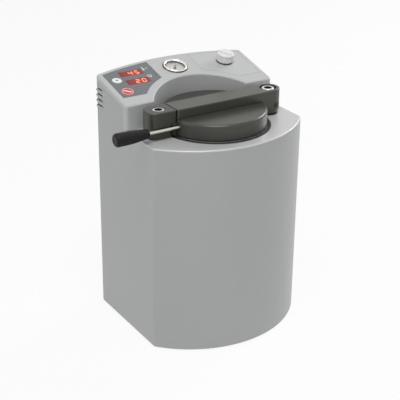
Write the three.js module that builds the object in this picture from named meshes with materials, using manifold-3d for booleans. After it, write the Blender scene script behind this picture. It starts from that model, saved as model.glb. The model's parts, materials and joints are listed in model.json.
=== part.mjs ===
// Benchtop pressure curing unit: a heated compressed-air chamber under a lid that swings on a yoke.
// Millimetres, +Z up, the front faces -Y. Inside the assembly x = y = 0 is the chamber's axis.
import * as THREE from "three";
import { mergeVertices } from "three/addons/utils/BufferGeometryUtils.js";
import Module from "manifold-3d";

// Clearances and drawing tolerances
const FIT = 0.3;
const CHORD_ERROR = 0.1;
const MERGE_DISTANCE = 1e-4;
const PAST = 1;

// Housing
const WIDTH = 260;
const AXIS_TO_FRONT_CORNER = 41.8;
const AXIS_TO_REAR_CORNER = 130;
const FRONT_BOW = 60.2;
const REAR_BOW = 17.6;
const SHEET = 1.5;
const SKIRT_Z = 3.5;
const REAR_RETURN = 6;
const REAR_FLANGE = 12;
const LOUVRE_COUNT = 4;
const LOUVRE_PITCH = 8.5;
const LOUVRE_HEIGHT = 4.6;
const LOUVRE_LENGTH = 21;
const LOUVRE_TOP_ABOVE_DECK = 42;

// Radii around the chamber's axis
const CHAMBER_RADIUS = 70;
const RIM_WIDTH = 9;
const RIM_RADIUS = CHAMBER_RADIUS + RIM_WIDTH;
const TRIM_WIDTH = 6;
const DECK_OPENING_RADIUS = RIM_RADIUS + TRIM_WIDTH;
const LID_RADIUS = RIM_RADIUS;
const OPENING_TO_SCOOP = 7.3;
const SCOOP_RADIUS = DECK_OPENING_RADIUS + OPENING_TO_SCOOP;

// Base and feet
const BASE_Z = 6;
const BASE_THICKNESS = 2;
const UPSTAND = 24;
const SIDE_TO_UPSTAND = 18;
const UPSTAND_HALF_WIDTH = WIDTH / 2 - SIDE_TO_UPSTAND;
const FOOT_RADIUS = 12;
const FOOT_PLUG_RADIUS = 4;
const FOOT_EDGE = 1.5;
const SIDE_TO_FRONT_FOOT = 45;
const FOOT_FRONT = [WIDTH / 2 - SIDE_TO_FRONT_FOOT, -52];
const SIDE_TO_REAR_FOOT = 30;
const FOOT_REAR = [WIDTH / 2 - SIDE_TO_REAR_FOOT, 102];

// Deck
const DECK_TOP = 330;
const DECK_THICKNESS = 2;
const TUBE_HOLE_RADIUS = 5;
const SIDE_TO_SUPPLY_HOLE = 53;
const SUPPLY_HOLE = [WIDTH / 2 - SIDE_TO_SUPPLY_HOLE, 119];
const OUTLET_HOLE = [36, 118];
const GAUGE_HOLE = [0, 122];

// Console
const CONSOLE_FRONT_Y = 36.8;
const CONSOLE_RISE = 38.2;
const CONSOLE_SLOPE = THREE.MathUtils.degToRad(13.66);
const CONSOLE_EDGE = 5;
const CONSOLE_WALL = 3;
const CONSOLE_RETURN = 9;
const CONSOLE_LIP = 9;
const CONSOLE_CORNER = 6;
const SCOOP_CENTRE_Y = -6;
const SCOOP_FILLET = 6;

// Control field and its mirrored inlay
const SIDE_TO_FIELD = 8.5;
const FIELD_OUTER_X = WIDTH / 2 - SIDE_TO_FIELD;
const FIELD_INNER_X = 37;
const FIELD_FRONT_Y = 58;
const FIELD_TO_SCOOP = 11.7;
const FIELD_TO_REAR = 7;
const FIELD_DEPTH = 0.8;
const MEMBRANE = 0.6;
const LEDGE = 3;
const BOARD = 1.6;
const FIELD_TO_DISPLAY = 25.5;
const SCOOP_TO_DISPLAY = 5.2;
const DISPLAY_DEPTH = 13;
const DISPLAY_Y = [116.7, 93.4];
const SIDE_TO_START_KEY = 22.7;
const START_KEY = [SIDE_TO_START_KEY - WIDTH / 2, 104.2];
const START_KEY_RADIUS = 7.5;
const SIDE_TO_STOP_KEY = 23.2;
const STOP_KEY = [SIDE_TO_STOP_KEY - WIDTH / 2, 72.2];
const STOP_KEY_RADIUS = 9.5;
const KEY_PROUD = 0.5;
const KEY_FLANGE = 1.2;
const KEY_TRAVEL = 0.8;

// Pressure gauge
const GAUGE_Y = 114;
const GAUGE_RADIUS = 20;
const GAUGE_BODY_RADIUS = 18.3;
const GAUGE_WALL = 1.4;
const GAUGE_BODY_DEPTH = 24;
const GAUGE_BEZEL_HEIGHT = 3;
const GAUGE_BEZEL_WIDTH = 3.6;
const GAUGE_DIAL_DEPTH = 3.4;
const GAUGE_STEM_RADIUS = 6;
const GAUGE_STEM_LENGTH = 9;
const NEEDLE_LENGTH = 10.5;
const NEEDLE_TAIL = 4;
const NEEDLE_WIDTH = 2.2;
const NEEDLE_HUB_RADIUS = 2.2;
const NEEDLE_BEARING = THREE.MathUtils.degToRad(55);
const SPINDLE_RADIUS = 0.8;

// Pressure regulator and its knob
const SIDE_TO_KNOB = 45;
const KNOB_AT = [WIDTH / 2 - SIDE_TO_KNOB, 104];
const KNOB_RADIUS = 13.5;
const KNOB_HEIGHT = 14.5;
const KNOB_RIBS = 24;
const KNOB_RIB_DEPTH = 0.5;
const KNOB_BASE = 2.2;
const STEM_RADIUS = 3.7;
const STEM_HEIGHT = 12;
const REGULATOR_RADIUS = 19;
const REGULATOR_LENGTH = 38;
const REGULATOR_PORT = [-8, 4];

// Chamber
const CHAMBER_DEPTH = 195;
const VESSEL_WALL = 5;
const VESSEL_FLOOR = 8;
const RIM_DEPTH = 10;
const RIM_PROUD = 1;
const SEAL_SECTION = 4.4;
const SEAL_PROUD = 2;
const CHAMBER_TO_SEAL = 2.3;
const SEAL_INNER_RADIUS = CHAMBER_RADIUS + CHAMBER_TO_SEAL;
const SEAL_GROOVE_DEPTH = 4;
const YOKE_PLATE = 12;
const YOKE_RADIUS = RIM_RADIUS + RIM_WIDTH;
const YOKE_HALF_WIDTH = 22;
const PORT_BLOCK_HALF_WIDTH = 40;
const CHAMBER_TO_PORTS = 26;
const PORT_BLOCK_REACH = CHAMBER_RADIUS + CHAMBER_TO_PORTS;
const PORT_BLOCK_HEIGHT = 30;
const PORT_BLOCK_BELOW_DECK = 60;
const HEATER_THICKNESS = 2.2;
const HEATER_HEIGHT = 90;
const JACKET_THICKNESS = 7;
const JACKET_TOP_BELOW_DECK = 70;
const STAND_INNER_RADIUS = 52;
const STAND_WALL = 5;
const STAND_FOOT_WIDTH = 12;
const STAND_FOOT_THICKNESS = 3;

// Lid
const LID_UNDERSIDE = 2.3;
const LID_TOP = 26;
const LID_EDGE = 4;
const LID_CHANNEL_FLOOR = 12;
const LID_CHANNEL_SHOULDER = 2;
const LID_DISH_DEPTH = 3;
const DISH_TO_CHAMBER = 6;
const LID_DISH_RADIUS = CHAMBER_RADIUS - DISH_TO_CHAMBER;
const LID_SCREW_X = 40;
const LID_SCREW_RADIUS = 4;
const LID_SCREW_HEAD_RADIUS = 6.5;
const LID_SCREW_HEAD = 4;
const LID_SCREW_GRIP = 12;

// Yoke arm, catch and pivot
const OPENING_TO_PIVOT = 11.3;
const PIVOT_X = DECK_OPENING_RADIUS + OPENING_TO_PIVOT;
const ARM_TOP = 40;
const ARM_HALF_WIDTH = 18;
const ARM_EDGE = 1.5;
const ARM_LEG_BOTTOM = 3;
const ARM_LEG_TAPER = 1.8;
const ARM_LEG_TAPER_HEIGHT = 5;
const CATCH_LEFT_OF_BOLT = 21.8;
const CATCH_LEFT_X = -PIVOT_X - CATCH_LEFT_OF_BOLT;
const CATCH_RIGHT_OF_BOLT = 20.3;
const CATCH_RIGHT_X = CATCH_RIGHT_OF_BOLT - PIVOT_X;
const CATCH_STEP = 9.2;
const CATCH_HOOK_UNDERSIDE = 21.2;
const CATCH_FRONT_CORNER = 11;
const CATCH_REAR_CORNER = 16;
const SWING_GAP = 0.8;
const NOSE_GAP = 1.1;
const NOSE_OVERLAP = 9;
const NOSE_ROOT_X = NOSE_OVERLAP - LID_RADIUS;
const HOOK_GAP = 0.6;
const BOLT_RADIUS = 6;
const BOLT_HEAD_RADIUS = 9;
const BOLT_HEAD = 12;
const BOLT_SUNK = 0.6;
const SOCKET_FLATS = 10;
const SOCKET_DEPTH = 7;
const PIVOT_HEAD_RADIUS = 9.8;
const PIVOT_SHOULDER_RADIUS = 8;
const PIVOT_COUNTERBORE = 13;
const BUSH_WALL = 1.7;
const BUSH_FLANGE = 1.5;
const WASHER_RADIUS = 16.5;
const NUT_FLATS = 19;
const NUT_HEIGHT = 10;
const THREAD_PAST_NUT = 1.5;

// Lever
const LEVER_Y = -22.3;
const LEVER_ABOVE_DECK = 15.3;
const ROD_RADIUS = 2.5;
const ROD_IN_LID = 17;
const ROD_INSIDE_X = ROD_IN_LID - LID_RADIUS;
const ROD_INSIDE_GRIP = 40;
const GRIP_START_X = -125.5;
const GRIP_LENGTH = 54.5;
const GRIP_RADIUS = 7;
const GRIP_NECK = 8.1;
const GRIP_END_RADIUS = 10.15;
const GRIP_ROUND = 4;

// Rear fittings
const SIDE_TO_REAR_SCREW = 35;
const REAR_SCREW_X = WIDTH / 2 - SIDE_TO_REAR_SCREW;
const REAR_SCREW_RADIUS = 1.7;
const REAR_SCREW_HEAD_RADIUS = 3.6;
const REAR_SCREW_HEAD = 2.2;
const REAR_SCREW_LENGTH = 7;
const REAR_SCREW_LOW_Z = 18;
const REAR_SCREW_BELOW_DECK = 14;
const MAINS_Z = 46;
const MAINS_FLANGE = [30, 50];
const MAINS_BODY = [24, 30];
const MAINS_CAVITY = [16.5, 24.5];
const MAINS_CAVITY_DEPTH = 17;
const MAINS_BODY_DEPTH = 26;
const FLANGE = 2.5;
const PIN_SIZE = [2, 4];
const PIN_LENGTH = 11;
const PIN_OFFSETS = [[0, 7], [0, -7], [3.5, 0]];
const SWITCH_X = -45;
const SWITCH_Z = 46;
const SWITCH_OUTER = [21, 30];
const SWITCH_HOLE = [17, 26];
const SWITCH_BODY_DEPTH = 20;
const ROCKER_RADIUS = 16;
const ROCKER_TILT = THREE.MathUtils.degToRad(10);
const NIPPLE_X = 60;
const NIPPLE_Z = 46;
const NIPPLE_RADIUS = 5;
const NIPPLE_HEX = 17;
const NIPPLE_REACH = 22;
const NIPPLE_INSIDE = 14;
const NIPPLE_BORE = 2.5;
const SILENCER_X = 60;
const SILENCER_Z = 84;
const SILENCER_RADIUS = 8;
const SILENCER_REACH = 18;

// Inside fittings
const VALVE_X = 24;
const VALVE_SIZE = [24, 26, 42];
const COIL_RADIUS = 11;
const COIL_HEIGHT = 22;
const TUBE_RADIUS = 3;
const TUBE_SIDES = 8;
const TUBE_STRAIGHT = 5;
const TUBE_BEND = 16;
const TUBE_RISE = 80;
const TRANSFORMER_SIZE = [48, 52, 56];
const SIDE_TO_TRANSFORMER = 36;
const TRANSFORMER_AT = [SIDE_TO_TRANSFORMER - WIDTH / 2, 96];
const TRANSFORMER_COIL_INSET = 8;
const BOARD_SIZE = [50, 54];
const SIDE_TO_BOARD = 36;
const BOARD_AT = [WIDTH / 2 - SIDE_TO_BOARD, 96];
const BOARD_STANDOFF = 8;
const BOARD_POST_RADIUS = 3;
const BOARD_POST_INSET = 5;
const RELAY_SIZE = [20, 30, 22];
const RELAY_OFFSET = 10;
const HEAT_SINK_SIZE = [8, 36, 32];
const HEAT_SINK_OFFSET = [14, 4];
const SAFETY_VALVE_RADIUS = 7;
const SAFETY_VALVE_TO_POT = 11;
const SAFETY_VALVE_LENGTH = 26;
const PROBE_RADIUS = 4;
const PROBE_LENGTH = 24;
const PROBE_ABOVE_FLOOR = 110;

// Worked out from the sizes above
const HALF_WIDTH = WIDTH / 2;
const FRONT_RADIUS = (HALF_WIDTH ** 2 + FRONT_BOW ** 2) / (2 * FRONT_BOW);
const FRONT_CENTRE_Y = -AXIS_TO_FRONT_CORNER - FRONT_BOW + FRONT_RADIUS;
const REAR_RADIUS = (HALF_WIDTH ** 2 + REAR_BOW ** 2) / (2 * REAR_BOW);
const REAR_CENTRE_Y = AXIS_TO_REAR_CORNER + REAR_BOW - REAR_RADIUS;
const REAR_EDGE_Y = AXIS_TO_REAR_CORNER - REAR_RETURN;
const CONSOLE_FRONT_Z = DECK_TOP + CONSOLE_RISE;
const WING_START_Y = CONSOLE_FRONT_Y + CONSOLE_RETURN;
const TALL = CONSOLE_FRONT_Z + WIDTH;
const PLATE_Z = DECK_TOP - DECK_THICKNESS;
const BEHIND_SHEET = SHEET + FIT;
const BEHIND_FLANGE = 2 * BEHIND_SHEET;
const YOKE_TOP = PLATE_Z - FIT;
const YOKE_BOTTOM = YOKE_TOP - YOKE_PLATE;
const RIM_BOTTOM = DECK_TOP - RIM_DEPTH;
const CHAMBER_FLOOR = DECK_TOP - CHAMBER_DEPTH;
const VESSEL_BOTTOM = CHAMBER_FLOOR - VESSEL_FLOOR;
const VESSEL_RADIUS = CHAMBER_RADIUS + VESSEL_WALL;
const BASE_TOP = BASE_Z + BASE_THICKNESS;
const LEVER_Z = DECK_TOP + LEVER_ABOVE_DECK;
const FIELD_RADIUS = SCOOP_RADIUS + FIELD_TO_SCOOP;
const DISPLAY_FRONT_Y = DISPLAY_Y[1] - (DISPLAY_DEPTH / 2) * Math.cos(CONSOLE_SLOPE);
const SCOOP_LEDGE_X = -Math.sqrt((FIELD_RADIUS + LEDGE) ** 2 - (DISPLAY_FRONT_Y - SCOOP_CENTRE_Y) ** 2);
const DISPLAY_LEFT_X = FIELD_TO_DISPLAY - FIELD_OUTER_X;
const DISPLAY_WIDTH = SCOOP_LEDGE_X - SCOOP_TO_DISPLAY - DISPLAY_LEFT_X;
const DISPLAY_X = DISPLAY_LEFT_X + DISPLAY_WIDTH / 2;
const BUSH_RADIUS = PIVOT_SHOULDER_RADIUS + FIT + BUSH_WALL;
const ARM_BORE = BUSH_RADIUS + FIT;
const ARM_NOSE_RADIUS = PIVOT_X - CATCH_RIGHT_X - SWING_GAP;
const HOOK_INNER_X = CATCH_RIGHT_X - CATCH_STEP;
const TONGUE_RADIUS = PIVOT_X - HOOK_INNER_X - NOSE_GAP;

const wasm = await Module();
wasm.setup();

// Finishes of the real surfaces
const finish = (color, roughness, metalness) =>
  new THREE.MeshStandardMaterial({ color, roughness, metalness });
const SILVER_PAINT = finish(0xa9acac, 0.45, 0.3);
const DECK_PAINT = finish(0xd0d2d3, 0.4, 0.2);
const CONSOLE_GREY = finish(0xbcc0c2, 0.5, 0);
const HARD_COAT = finish(0x5c5d57, 0.5, 0.3);
const STEEL = finish(0xc4c4c0, 0.3, 1);
const CHROME = finish(0xe2e2e4, 0.12, 1);
const ALUMINIUM = finish(0xc9cbcc, 0.4, 1);
const BLACK_PLASTIC = finish(0x2a2b29, 0.55, 0);
const RUBBER = finish(0x202020, 0.8, 0);
const MEMBRANE_GREY = finish(0x6c7174, 0.5, 0);
const DISPLAY_RED = finish(0x9c1b12, 0.25, 0);
const WHITE_PLASTIC = finish(0xeeeeec, 0.4, 0);
const RED_PLASTIC = finish(0xd8343c, 0.4, 0);
const DIAL_WHITE = finish(0xeceae4, 0.6, 0);
const GLASS = finish(0xe8eef0, 0.05, 0);
const GALVANISED = finish(0xb4b8ba, 0.45, 0.9);
const BRASS = finish(0xb89a55, 0.3, 1);
const BOARD_GREEN = finish(0x2f5b3a, 0.6, 0);
const FOAM = finish(0x7b7468, 0.95, 0);
const TUBE_BLUE = finish(0x3f6fa8, 0.4, 0);

// Angle step that keeps a facet within the chord error of its circle.
const stepsFor = (radius, sweep) =>
  Math.max(2, Math.ceil(Math.abs(sweep) / (2 * Math.acos(1 - CHORD_ERROR / Math.max(radius, 1)))));

// Points along an arc, ends included.
function arc(x, y, radius, from, to) {
  const steps = stepsFor(radius, to - from);
  return Array.from({ length: steps + 1 }, (_, i) => {
    const angle = from + ((to - from) * i) / steps;
    return new THREE.Vector2(x + radius * Math.cos(angle), y + radius * Math.sin(angle));
  });
}

const point = (x, y) => new THREE.Vector2(x, y);
const circle = (x, y, radius) => arc(x, y, radius, 0, 2 * Math.PI).slice(0, -1);
const rectangle = (x, y, width, depth) => [
  point(x - width / 2, y - depth / 2),
  point(x + width / 2, y - depth / 2),
  point(x + width / 2, y + depth / 2),
  point(x - width / 2, y + depth / 2),
];
const hexagon = (x, y, flats) => Array.from({ length: 6 }, (_, i) => {
  const angle = (Math.PI / 3) * i + Math.PI / 6;
  return point(x + (flats / Math.sqrt(3)) * Math.cos(angle), y + (flats / Math.sqrt(3)) * Math.sin(angle));
});

// A rectangle with one radius on each corner, listed from the left front corner anticlockwise.
function roundedRectangle(left, right, front, rear, radii) {
  const [a, b, c, d] = radii;
  return [
    ...arc(left + a, front + a, a, Math.PI, 1.5 * Math.PI),
    ...arc(right - b, front + b, b, 1.5 * Math.PI, 2 * Math.PI),
    ...arc(right - c, rear - c, c, 0, 0.5 * Math.PI),
    ...arc(left + d, rear - d, d, 0.5 * Math.PI, Math.PI),
  ];
}

// A closed geometry as a solid, with its shared vertices merged and its faces out.
function solid(geometry) {
  const bare = geometry.index ? geometry.toNonIndexed() : geometry.clone();
  for (const name of Object.keys(bare.attributes)) {
    if (name !== "position") {
      bare.deleteAttribute(name);
    }
  }
  const merged = mergeVertices(bare, MERGE_DISTANCE);
  const index = merged.index.array;
  const corners = [];
  for (let i = 0; i < index.length; i += 3) {
    const [a, b, c] = [index[i], index[i + 1], index[i + 2]];
    if (a !== b && b !== c && c !== a) {
      corners.push(a, b, c);
    }
  }
  const build = (list) => new wasm.Manifold(new wasm.Mesh({
    numProp: 3,
    vertProperties: merged.attributes.position.array,
    triVerts: new Uint32Array(list),
  }));
  const made = build(corners);
  return made.volume() < 0 ? build(corners.reverse()) : made;
}

// A solid's faces as a flat-shaded geometry.
function geometryOf(made) {
  const mesh = made.getMesh();
  const positions = new Float32Array(mesh.triVerts.length * 3);
  mesh.triVerts.forEach((vertex, i) => {
    for (let axis = 0; axis < 3; axis += 1) {
      positions[3 * i + axis] = mesh.vertProperties[mesh.numProp * vertex + axis];
    }
  });
  const geometry = new THREE.BufferGeometry();
  geometry.setAttribute("position", new THREE.BufferAttribute(positions, 3));
  geometry.computeVertexNormals();
  return geometry;
}

const join = (first, ...rest) => rest.reduce((sum, next) => sum.add(next), first);
const cut = (first, ...rest) => rest.reduce((sum, next) => sum.subtract(next), first);

// Prism on a plan outline between two heights.
function prism(outline, low, high, matrix = null) {
  const geometry = new THREE.ExtrudeGeometry(new THREE.Shape(outline), {
    depth: high - low,
    bevelEnabled: false,
  });
  geometry.translate(0, 0, low);
  if (matrix) {
    geometry.applyMatrix4(matrix);
  }
  return solid(geometry);
}

// Prism whose upper and lower edges are rounded.
function softPrism(outline, low, high, radius, segments, reshape = null) {
  const geometry = new THREE.ExtrudeGeometry(new THREE.Shape(outline), {
    depth: high - low - 2 * radius,
    bevelEnabled: true,
    bevelThickness: radius,
    bevelSize: radius,
    bevelOffset: -radius,
    bevelSegments: segments,
  });
  geometry.translate(0, 0, low + radius);
  if (reshape) {
    reshape(geometry.attributes.position);
  }
  return solid(geometry);
}

// Prism of a side view, given as [y, z] pairs, across the width between two x.
function sidePrism(pairs, left, right) {
  const geometry = new THREE.ExtrudeGeometry(new THREE.Shape(pairs.map(([y, z]) => point(y, z))), {
    depth: right - left,
    bevelEnabled: false,
  });
  const toSide = new THREE.Matrix4().makeBasis(
    new THREE.Vector3(0, 1, 0),
    new THREE.Vector3(0, 0, 1),
    new THREE.Vector3(1, 0, 0),
  );
  geometry.applyMatrix4(toSide);
  geometry.translate(left, 0, 0);
  return solid(geometry);
}

// Body of revolution about +Z from [radius, z] pairs that close on themselves or end on the axis.
function turned(pairs, matrix = null) {
  const profile = pairs.map(([radius, z]) => point(radius, z));
  profile.push(profile[0].clone());
  const widest = Math.max(...pairs.map(([radius]) => radius));
  const geometry = new THREE.LatheGeometry(profile, Math.max(12, stepsFor(widest, 2 * Math.PI)));
  geometry.rotateX(Math.PI / 2);
  if (matrix) {
    geometry.applyMatrix4(matrix);
  }
  return solid(geometry);
}

const shift = (x, y, z) => new THREE.Matrix4().makeTranslation(x, y, z);
const post = (x, y, radius, low, high) => prism(circle(x, y, radius), low, high);
const block = (x, y, z, size) =>
  prism(rectangle(x, y, size[0], size[1]), z, z + size[2]);

// Quarter round between a side at one radius and a face at one height, outer edge of a turned piece.
const roundOver = (radius, top, edge) =>
  arc(radius - edge, top - edge, edge, 0, Math.PI / 2).map((p) => [p.x, p.y]);

// Plan outline of the housing, drawn in by an inset on each side; a flat end replaces a bow.
function planOutline({ side = 0, front = 0, rear = 0, frontY = null, rearY = null }) {
  const half = HALF_WIDTH - side;
  const outline = [];
  if (frontY === null) {
    const radius = FRONT_RADIUS - front;
    const spread = Math.asin(half / radius);
    outline.push(...arc(0, FRONT_CENTRE_Y, radius, -Math.PI / 2 - spread, -Math.PI / 2 + spread));
  } else {
    outline.push(point(-half, frontY), point(half, frontY));
  }
  if (rearY === null) {
    const radius = REAR_RADIUS - rear;
    const spread = Math.asin(half / radius);
    outline.push(...arc(0, REAR_CENTRE_Y, radius, Math.PI / 2 - spread, Math.PI / 2 + spread));
  } else {
    outline.push(point(half, rearY), point(-half, rearY));
  }
  return outline;
}

const inset = (distance) => ({ side: distance, front: distance, rear: distance });
const slopeZ = (y) => CONSOLE_FRONT_Z + (y - CONSOLE_FRONT_Y) * Math.tan(CONSOLE_SLOPE);

// Everything above the sheet sides: over the deck in front, over the sloped lip behind.
function aboveSheets(gap) {
  const far = 2 * WIDTH;
  const lip = (y) => slopeZ(y) - CONSOLE_LIP - gap;
  const deck = PLATE_Z - gap;
  return sidePrism([
    [-far, deck],
    [WING_START_Y, deck],
    [WING_START_Y, lip(WING_START_Y)],
    [far, lip(far)],
    [far, TALL + far],
    [-far, TALL + far],
  ], -HALF_WIDTH - PAST, HALF_WIDTH + PAST);
}

// Cooling louvres at both rear corners, cut through the side and round into the rear panel,
// and through the cover's skirt behind them.
function louvres() {
  const cuts = [];
  for (const sign of [-1, 1]) {
    for (let i = 0; i < LOUVRE_COUNT; i += 1) {
      const low = DECK_TOP + LOUVRE_TOP_ABOVE_DECK - i * LOUVRE_PITCH - LOUVRE_HEIGHT;
      const reach = LOUVRE_LENGTH + PAST;
      cuts.push(block(
        sign * (HALF_WIDTH - LOUVRE_LENGTH + reach / 2),
        AXIS_TO_REAR_CORNER - LOUVRE_LENGTH + LOUVRE_LENGTH,
        low,
        [reach, 2 * LOUVRE_LENGTH, LOUVRE_HEIGHT],
      ));
    }
  }
  return cuts;
}

function makeHousingShell() {
  const outer = prism(planOutline({ rearY: REAR_EDGE_Y }), SKIRT_Z, TALL);
  const inner = prism(
    planOutline({ side: SHEET, front: SHEET, rearY: REAR_EDGE_Y + PAST }),
    SKIRT_Z - PAST,
    TALL + PAST,
  );
  return cut(outer, inner, aboveSheets(FIT), ...louvres());
}

// A bowed wall between two insets of the plan, kept between two y and two z.
function planRing(from, to, nearY, farY, low, high) {
  const ring = cut(
    prism(planOutline(inset(from)), low, high),
    prism(planOutline(inset(to)), low - PAST, high + PAST),
  );
  const keep = prism(rectangle(0, (nearY + farY) / 2, WIDTH + 2 * PAST, farY - nearY), low, high);
  return ring.intersect(keep);
}

// Place on the rear panel: +Z leaves the panel square to it, +Y points up.
function onRear(x, z, standOff = 0) {
  const angle = Math.asin(x / REAR_RADIUS);
  const out = new THREE.Vector3(Math.sin(angle), Math.cos(angle), 0);
  const up = new THREE.Vector3(0, 0, 1);
  const place = new THREE.Matrix4().makeBasis(new THREE.Vector3().crossVectors(up, out), up, out);
  const reach = REAR_RADIUS + standOff;
  return place.setPosition(reach * out.x, REAR_CENTRE_Y + reach * out.y, z);
}

const rearHole = (outline, x, z) => prism(outline, -4 * SHEET, PAST, onRear(x, z));
const rearScrewPlaces = [-1, 1].flatMap((sign) => [
  [sign * REAR_SCREW_X, REAR_SCREW_LOW_Z],
  [sign * REAR_SCREW_X, DECK_TOP - REAR_SCREW_BELOW_DECK],
]);
const rearScrewHoles = () =>
  rearScrewPlaces.map(([x, z]) => rearHole(circle(0, 0, REAR_SCREW_RADIUS + FIT), x, z));

function makeRearPanel() {
  const far = AXIS_TO_REAR_CORNER + REAR_BOW + PAST;
  const corner = REAR_EDGE_Y + FIT;
  const skin = planRing(0, SHEET, corner, far, SKIRT_Z, TALL);
  const fold = planRing(0, BEHIND_SHEET + SHEET, corner, corner + 2 * SHEET, SKIRT_Z, TALL);
  const lap = planRing(
    BEHIND_SHEET,
    BEHIND_SHEET + SHEET,
    REAR_EDGE_Y - REAR_FLANGE,
    corner + PAST,
    SKIRT_Z,
    TALL,
  );
  const wall = (size) => rectangle(0, 0, size[0] + 2 * FIT, size[1] + 2 * FIT);
  return cut(
    join(skin, fold, lap),
    aboveSheets(FIT),
    ...louvres(),
    ...rearScrewHoles(),
    rearHole(wall(MAINS_BODY), 0, MAINS_Z),
    rearHole(wall(SWITCH_HOLE), SWITCH_X, SWITCH_Z),
    rearHole(circle(0, 0, NIPPLE_RADIUS + FIT), NIPPLE_X, NIPPLE_Z),
    rearHole(circle(0, 0, NIPPLE_RADIUS + FIT), SILENCER_X, SILENCER_Z),
  );
}

const footPlaces = {
  foot_front_left: [-FOOT_FRONT[0], FOOT_FRONT[1]],
  foot_front_right: FOOT_FRONT,
  foot_rear_left: [-FOOT_REAR[0], FOOT_REAR[1]],
  foot_rear_right: FOOT_REAR,
};

// A strip that stands against the inside of the rear panel and takes its screws.
function rearStrip(low, high) {
  const strip = planRing(
    BEHIND_SHEET,
    BEHIND_SHEET + 2 * SHEET,
    AXIS_TO_REAR_CORNER - BEHIND_SHEET,
    AXIS_TO_REAR_CORNER + REAR_BOW,
    low,
    high,
  );
  const span = prism(rectangle(0, AXIS_TO_REAR_CORNER, 2 * UPSTAND_HALF_WIDTH, WIDTH), low, high);
  return strip.intersect(span);
}

function makeBasePlate() {
  const outline = planOutline({ side: BEHIND_FLANGE, front: BEHIND_SHEET, rear: BEHIND_SHEET });
  const holes = Object.values(footPlaces).map(([x, y]) =>
    post(x, y, FOOT_PLUG_RADIUS + FIT, BASE_Z - PAST, BASE_TOP + PAST));
  return cut(
    join(prism(outline, BASE_Z, BASE_TOP), rearStrip(BASE_Z, BASE_Z + UPSTAND)),
    ...holes,
    ...rearScrewHoles(),
  );
}

function makeFoot() {
  return turned([
    [0, 0],
    [FOOT_RADIUS - FOOT_EDGE, 0],
    [FOOT_RADIUS, FOOT_EDGE],
    [FOOT_RADIUS, BASE_Z - FIT],
    [FOOT_PLUG_RADIUS, BASE_Z - FIT],
    [FOOT_PLUG_RADIUS, BASE_TOP],
    [0, BASE_TOP],
  ]);
}

const boltHole = (x, radius) => post(x, 0, radius + FIT, YOKE_BOTTOM - PAST, DECK_TOP + PAST);

function makeDeckPlate() {
  const front = prism(planOutline({ rearY: WING_START_Y - FIT }), PLATE_Z, DECK_TOP);
  const rear = prism(
    planOutline({ side: BEHIND_FLANGE, rear: BEHIND_SHEET, frontY: 0 }),
    PLATE_Z,
    DECK_TOP,
  );
  const holes = [SUPPLY_HOLE, OUTLET_HOLE, GAUGE_HOLE].map(([x, y]) =>
    post(x, y, TUBE_HOLE_RADIUS, PLATE_Z - PAST, DECK_TOP + PAST));
  return cut(
    join(front, rear, rearStrip(PLATE_Z - UPSTAND, DECK_TOP)),
    post(0, 0, DECK_OPENING_RADIUS, PLATE_Z - PAST, DECK_TOP + PAST),
    boltHole(-PIVOT_X, BOLT_RADIUS),
    boltHole(PIVOT_X, BOLT_RADIUS),
    ...holes,
    ...rearScrewHoles(),
  );
}

// Plan of the console: straight front with the filleted scoop in it, rounded corners, bowed rear.
function consoleOutline(side, wall, scoopRadius) {
  const half = HALF_WIDTH - side;
  const front = CONSOLE_FRONT_Y + wall;
  const corner = Math.max(CONSOLE_CORNER - wall, PAST);
  const fillet = Math.max(SCOOP_FILLET - wall, PAST);
  const rise = front + fillet - SCOOP_CENTRE_Y;
  const reach = Math.sqrt((scoopRadius + fillet) ** 2 - rise ** 2);
  const tangent = Math.atan2(rise, reach);
  const radius = REAR_RADIUS - side;
  const spread = Math.asin(half / radius);
  return [
    ...arc(-half + corner, front + corner, corner, Math.PI, 1.5 * Math.PI),
    ...arc(-reach, front + fillet, fillet, -Math.PI / 2, -tangent),
    ...arc(0, SCOOP_CENTRE_Y, scoopRadius, Math.PI - tangent, tangent),
    ...arc(reach, front + fillet, fillet, Math.PI + tangent, 1.5 * Math.PI),
    ...arc(half - corner, front + corner, corner, 1.5 * Math.PI, 2 * Math.PI),
    ...arc(0, REAR_CENTRE_Y, radius, Math.PI / 2 - spread, Math.PI / 2 + spread),
  ];
}

// Leans the upper face of a prism back to the console's slope.
function lean(positions) {
  for (let i = 0; i < positions.count; i += 1) {
    if (positions.getZ(i) > DECK_TOP) {
      positions.setZ(i, positions.getZ(i) + slopeZ(positions.getY(i)) - CONSOLE_FRONT_Z);
    }
  }
}

// Frame of the sloped panel: x across, y up the slope, z square to it.
const PANEL = new THREE.Matrix4()
  .makeRotationX(CONSOLE_SLOPE)
  .setPosition(0, CONSOLE_FRONT_Y, CONSOLE_FRONT_Z);
const upSlope = (y) => (y - CONSOLE_FRONT_Y) / Math.cos(CONSOLE_SLOPE);
const panelPost = (x, y, radius, low, high) => prism(circle(x, upSlope(y), radius), low, high, PANEL);

// Outline of the control field on the panel, drawn in by a margin; sign -1 is the left field.
function fieldOutline(sign, margin) {
  const outer = FIELD_OUTER_X - margin;
  const inner = FIELD_INNER_X + margin;
  const front = FIELD_FRONT_Y + margin;
  const near = FIELD_RADIUS + margin;
  const far = REAR_RADIUS - FIELD_TO_REAR - margin;
  const from = Math.asin((front - SCOOP_CENTRE_Y) / near);
  const to = Math.acos(inner / near);
  const outline = [
    point(outer, front),
    ...arc(0, SCOOP_CENTRE_Y, near, from, to),
    ...arc(0, REAR_CENTRE_Y, far, Math.acos(inner / far), Math.acos(outer / far)),
  ];
  const placed = outline.map((p) => point(sign * p.x, upSlope(p.y)));
  return sign > 0 ? placed.reverse() : placed;
}

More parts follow.
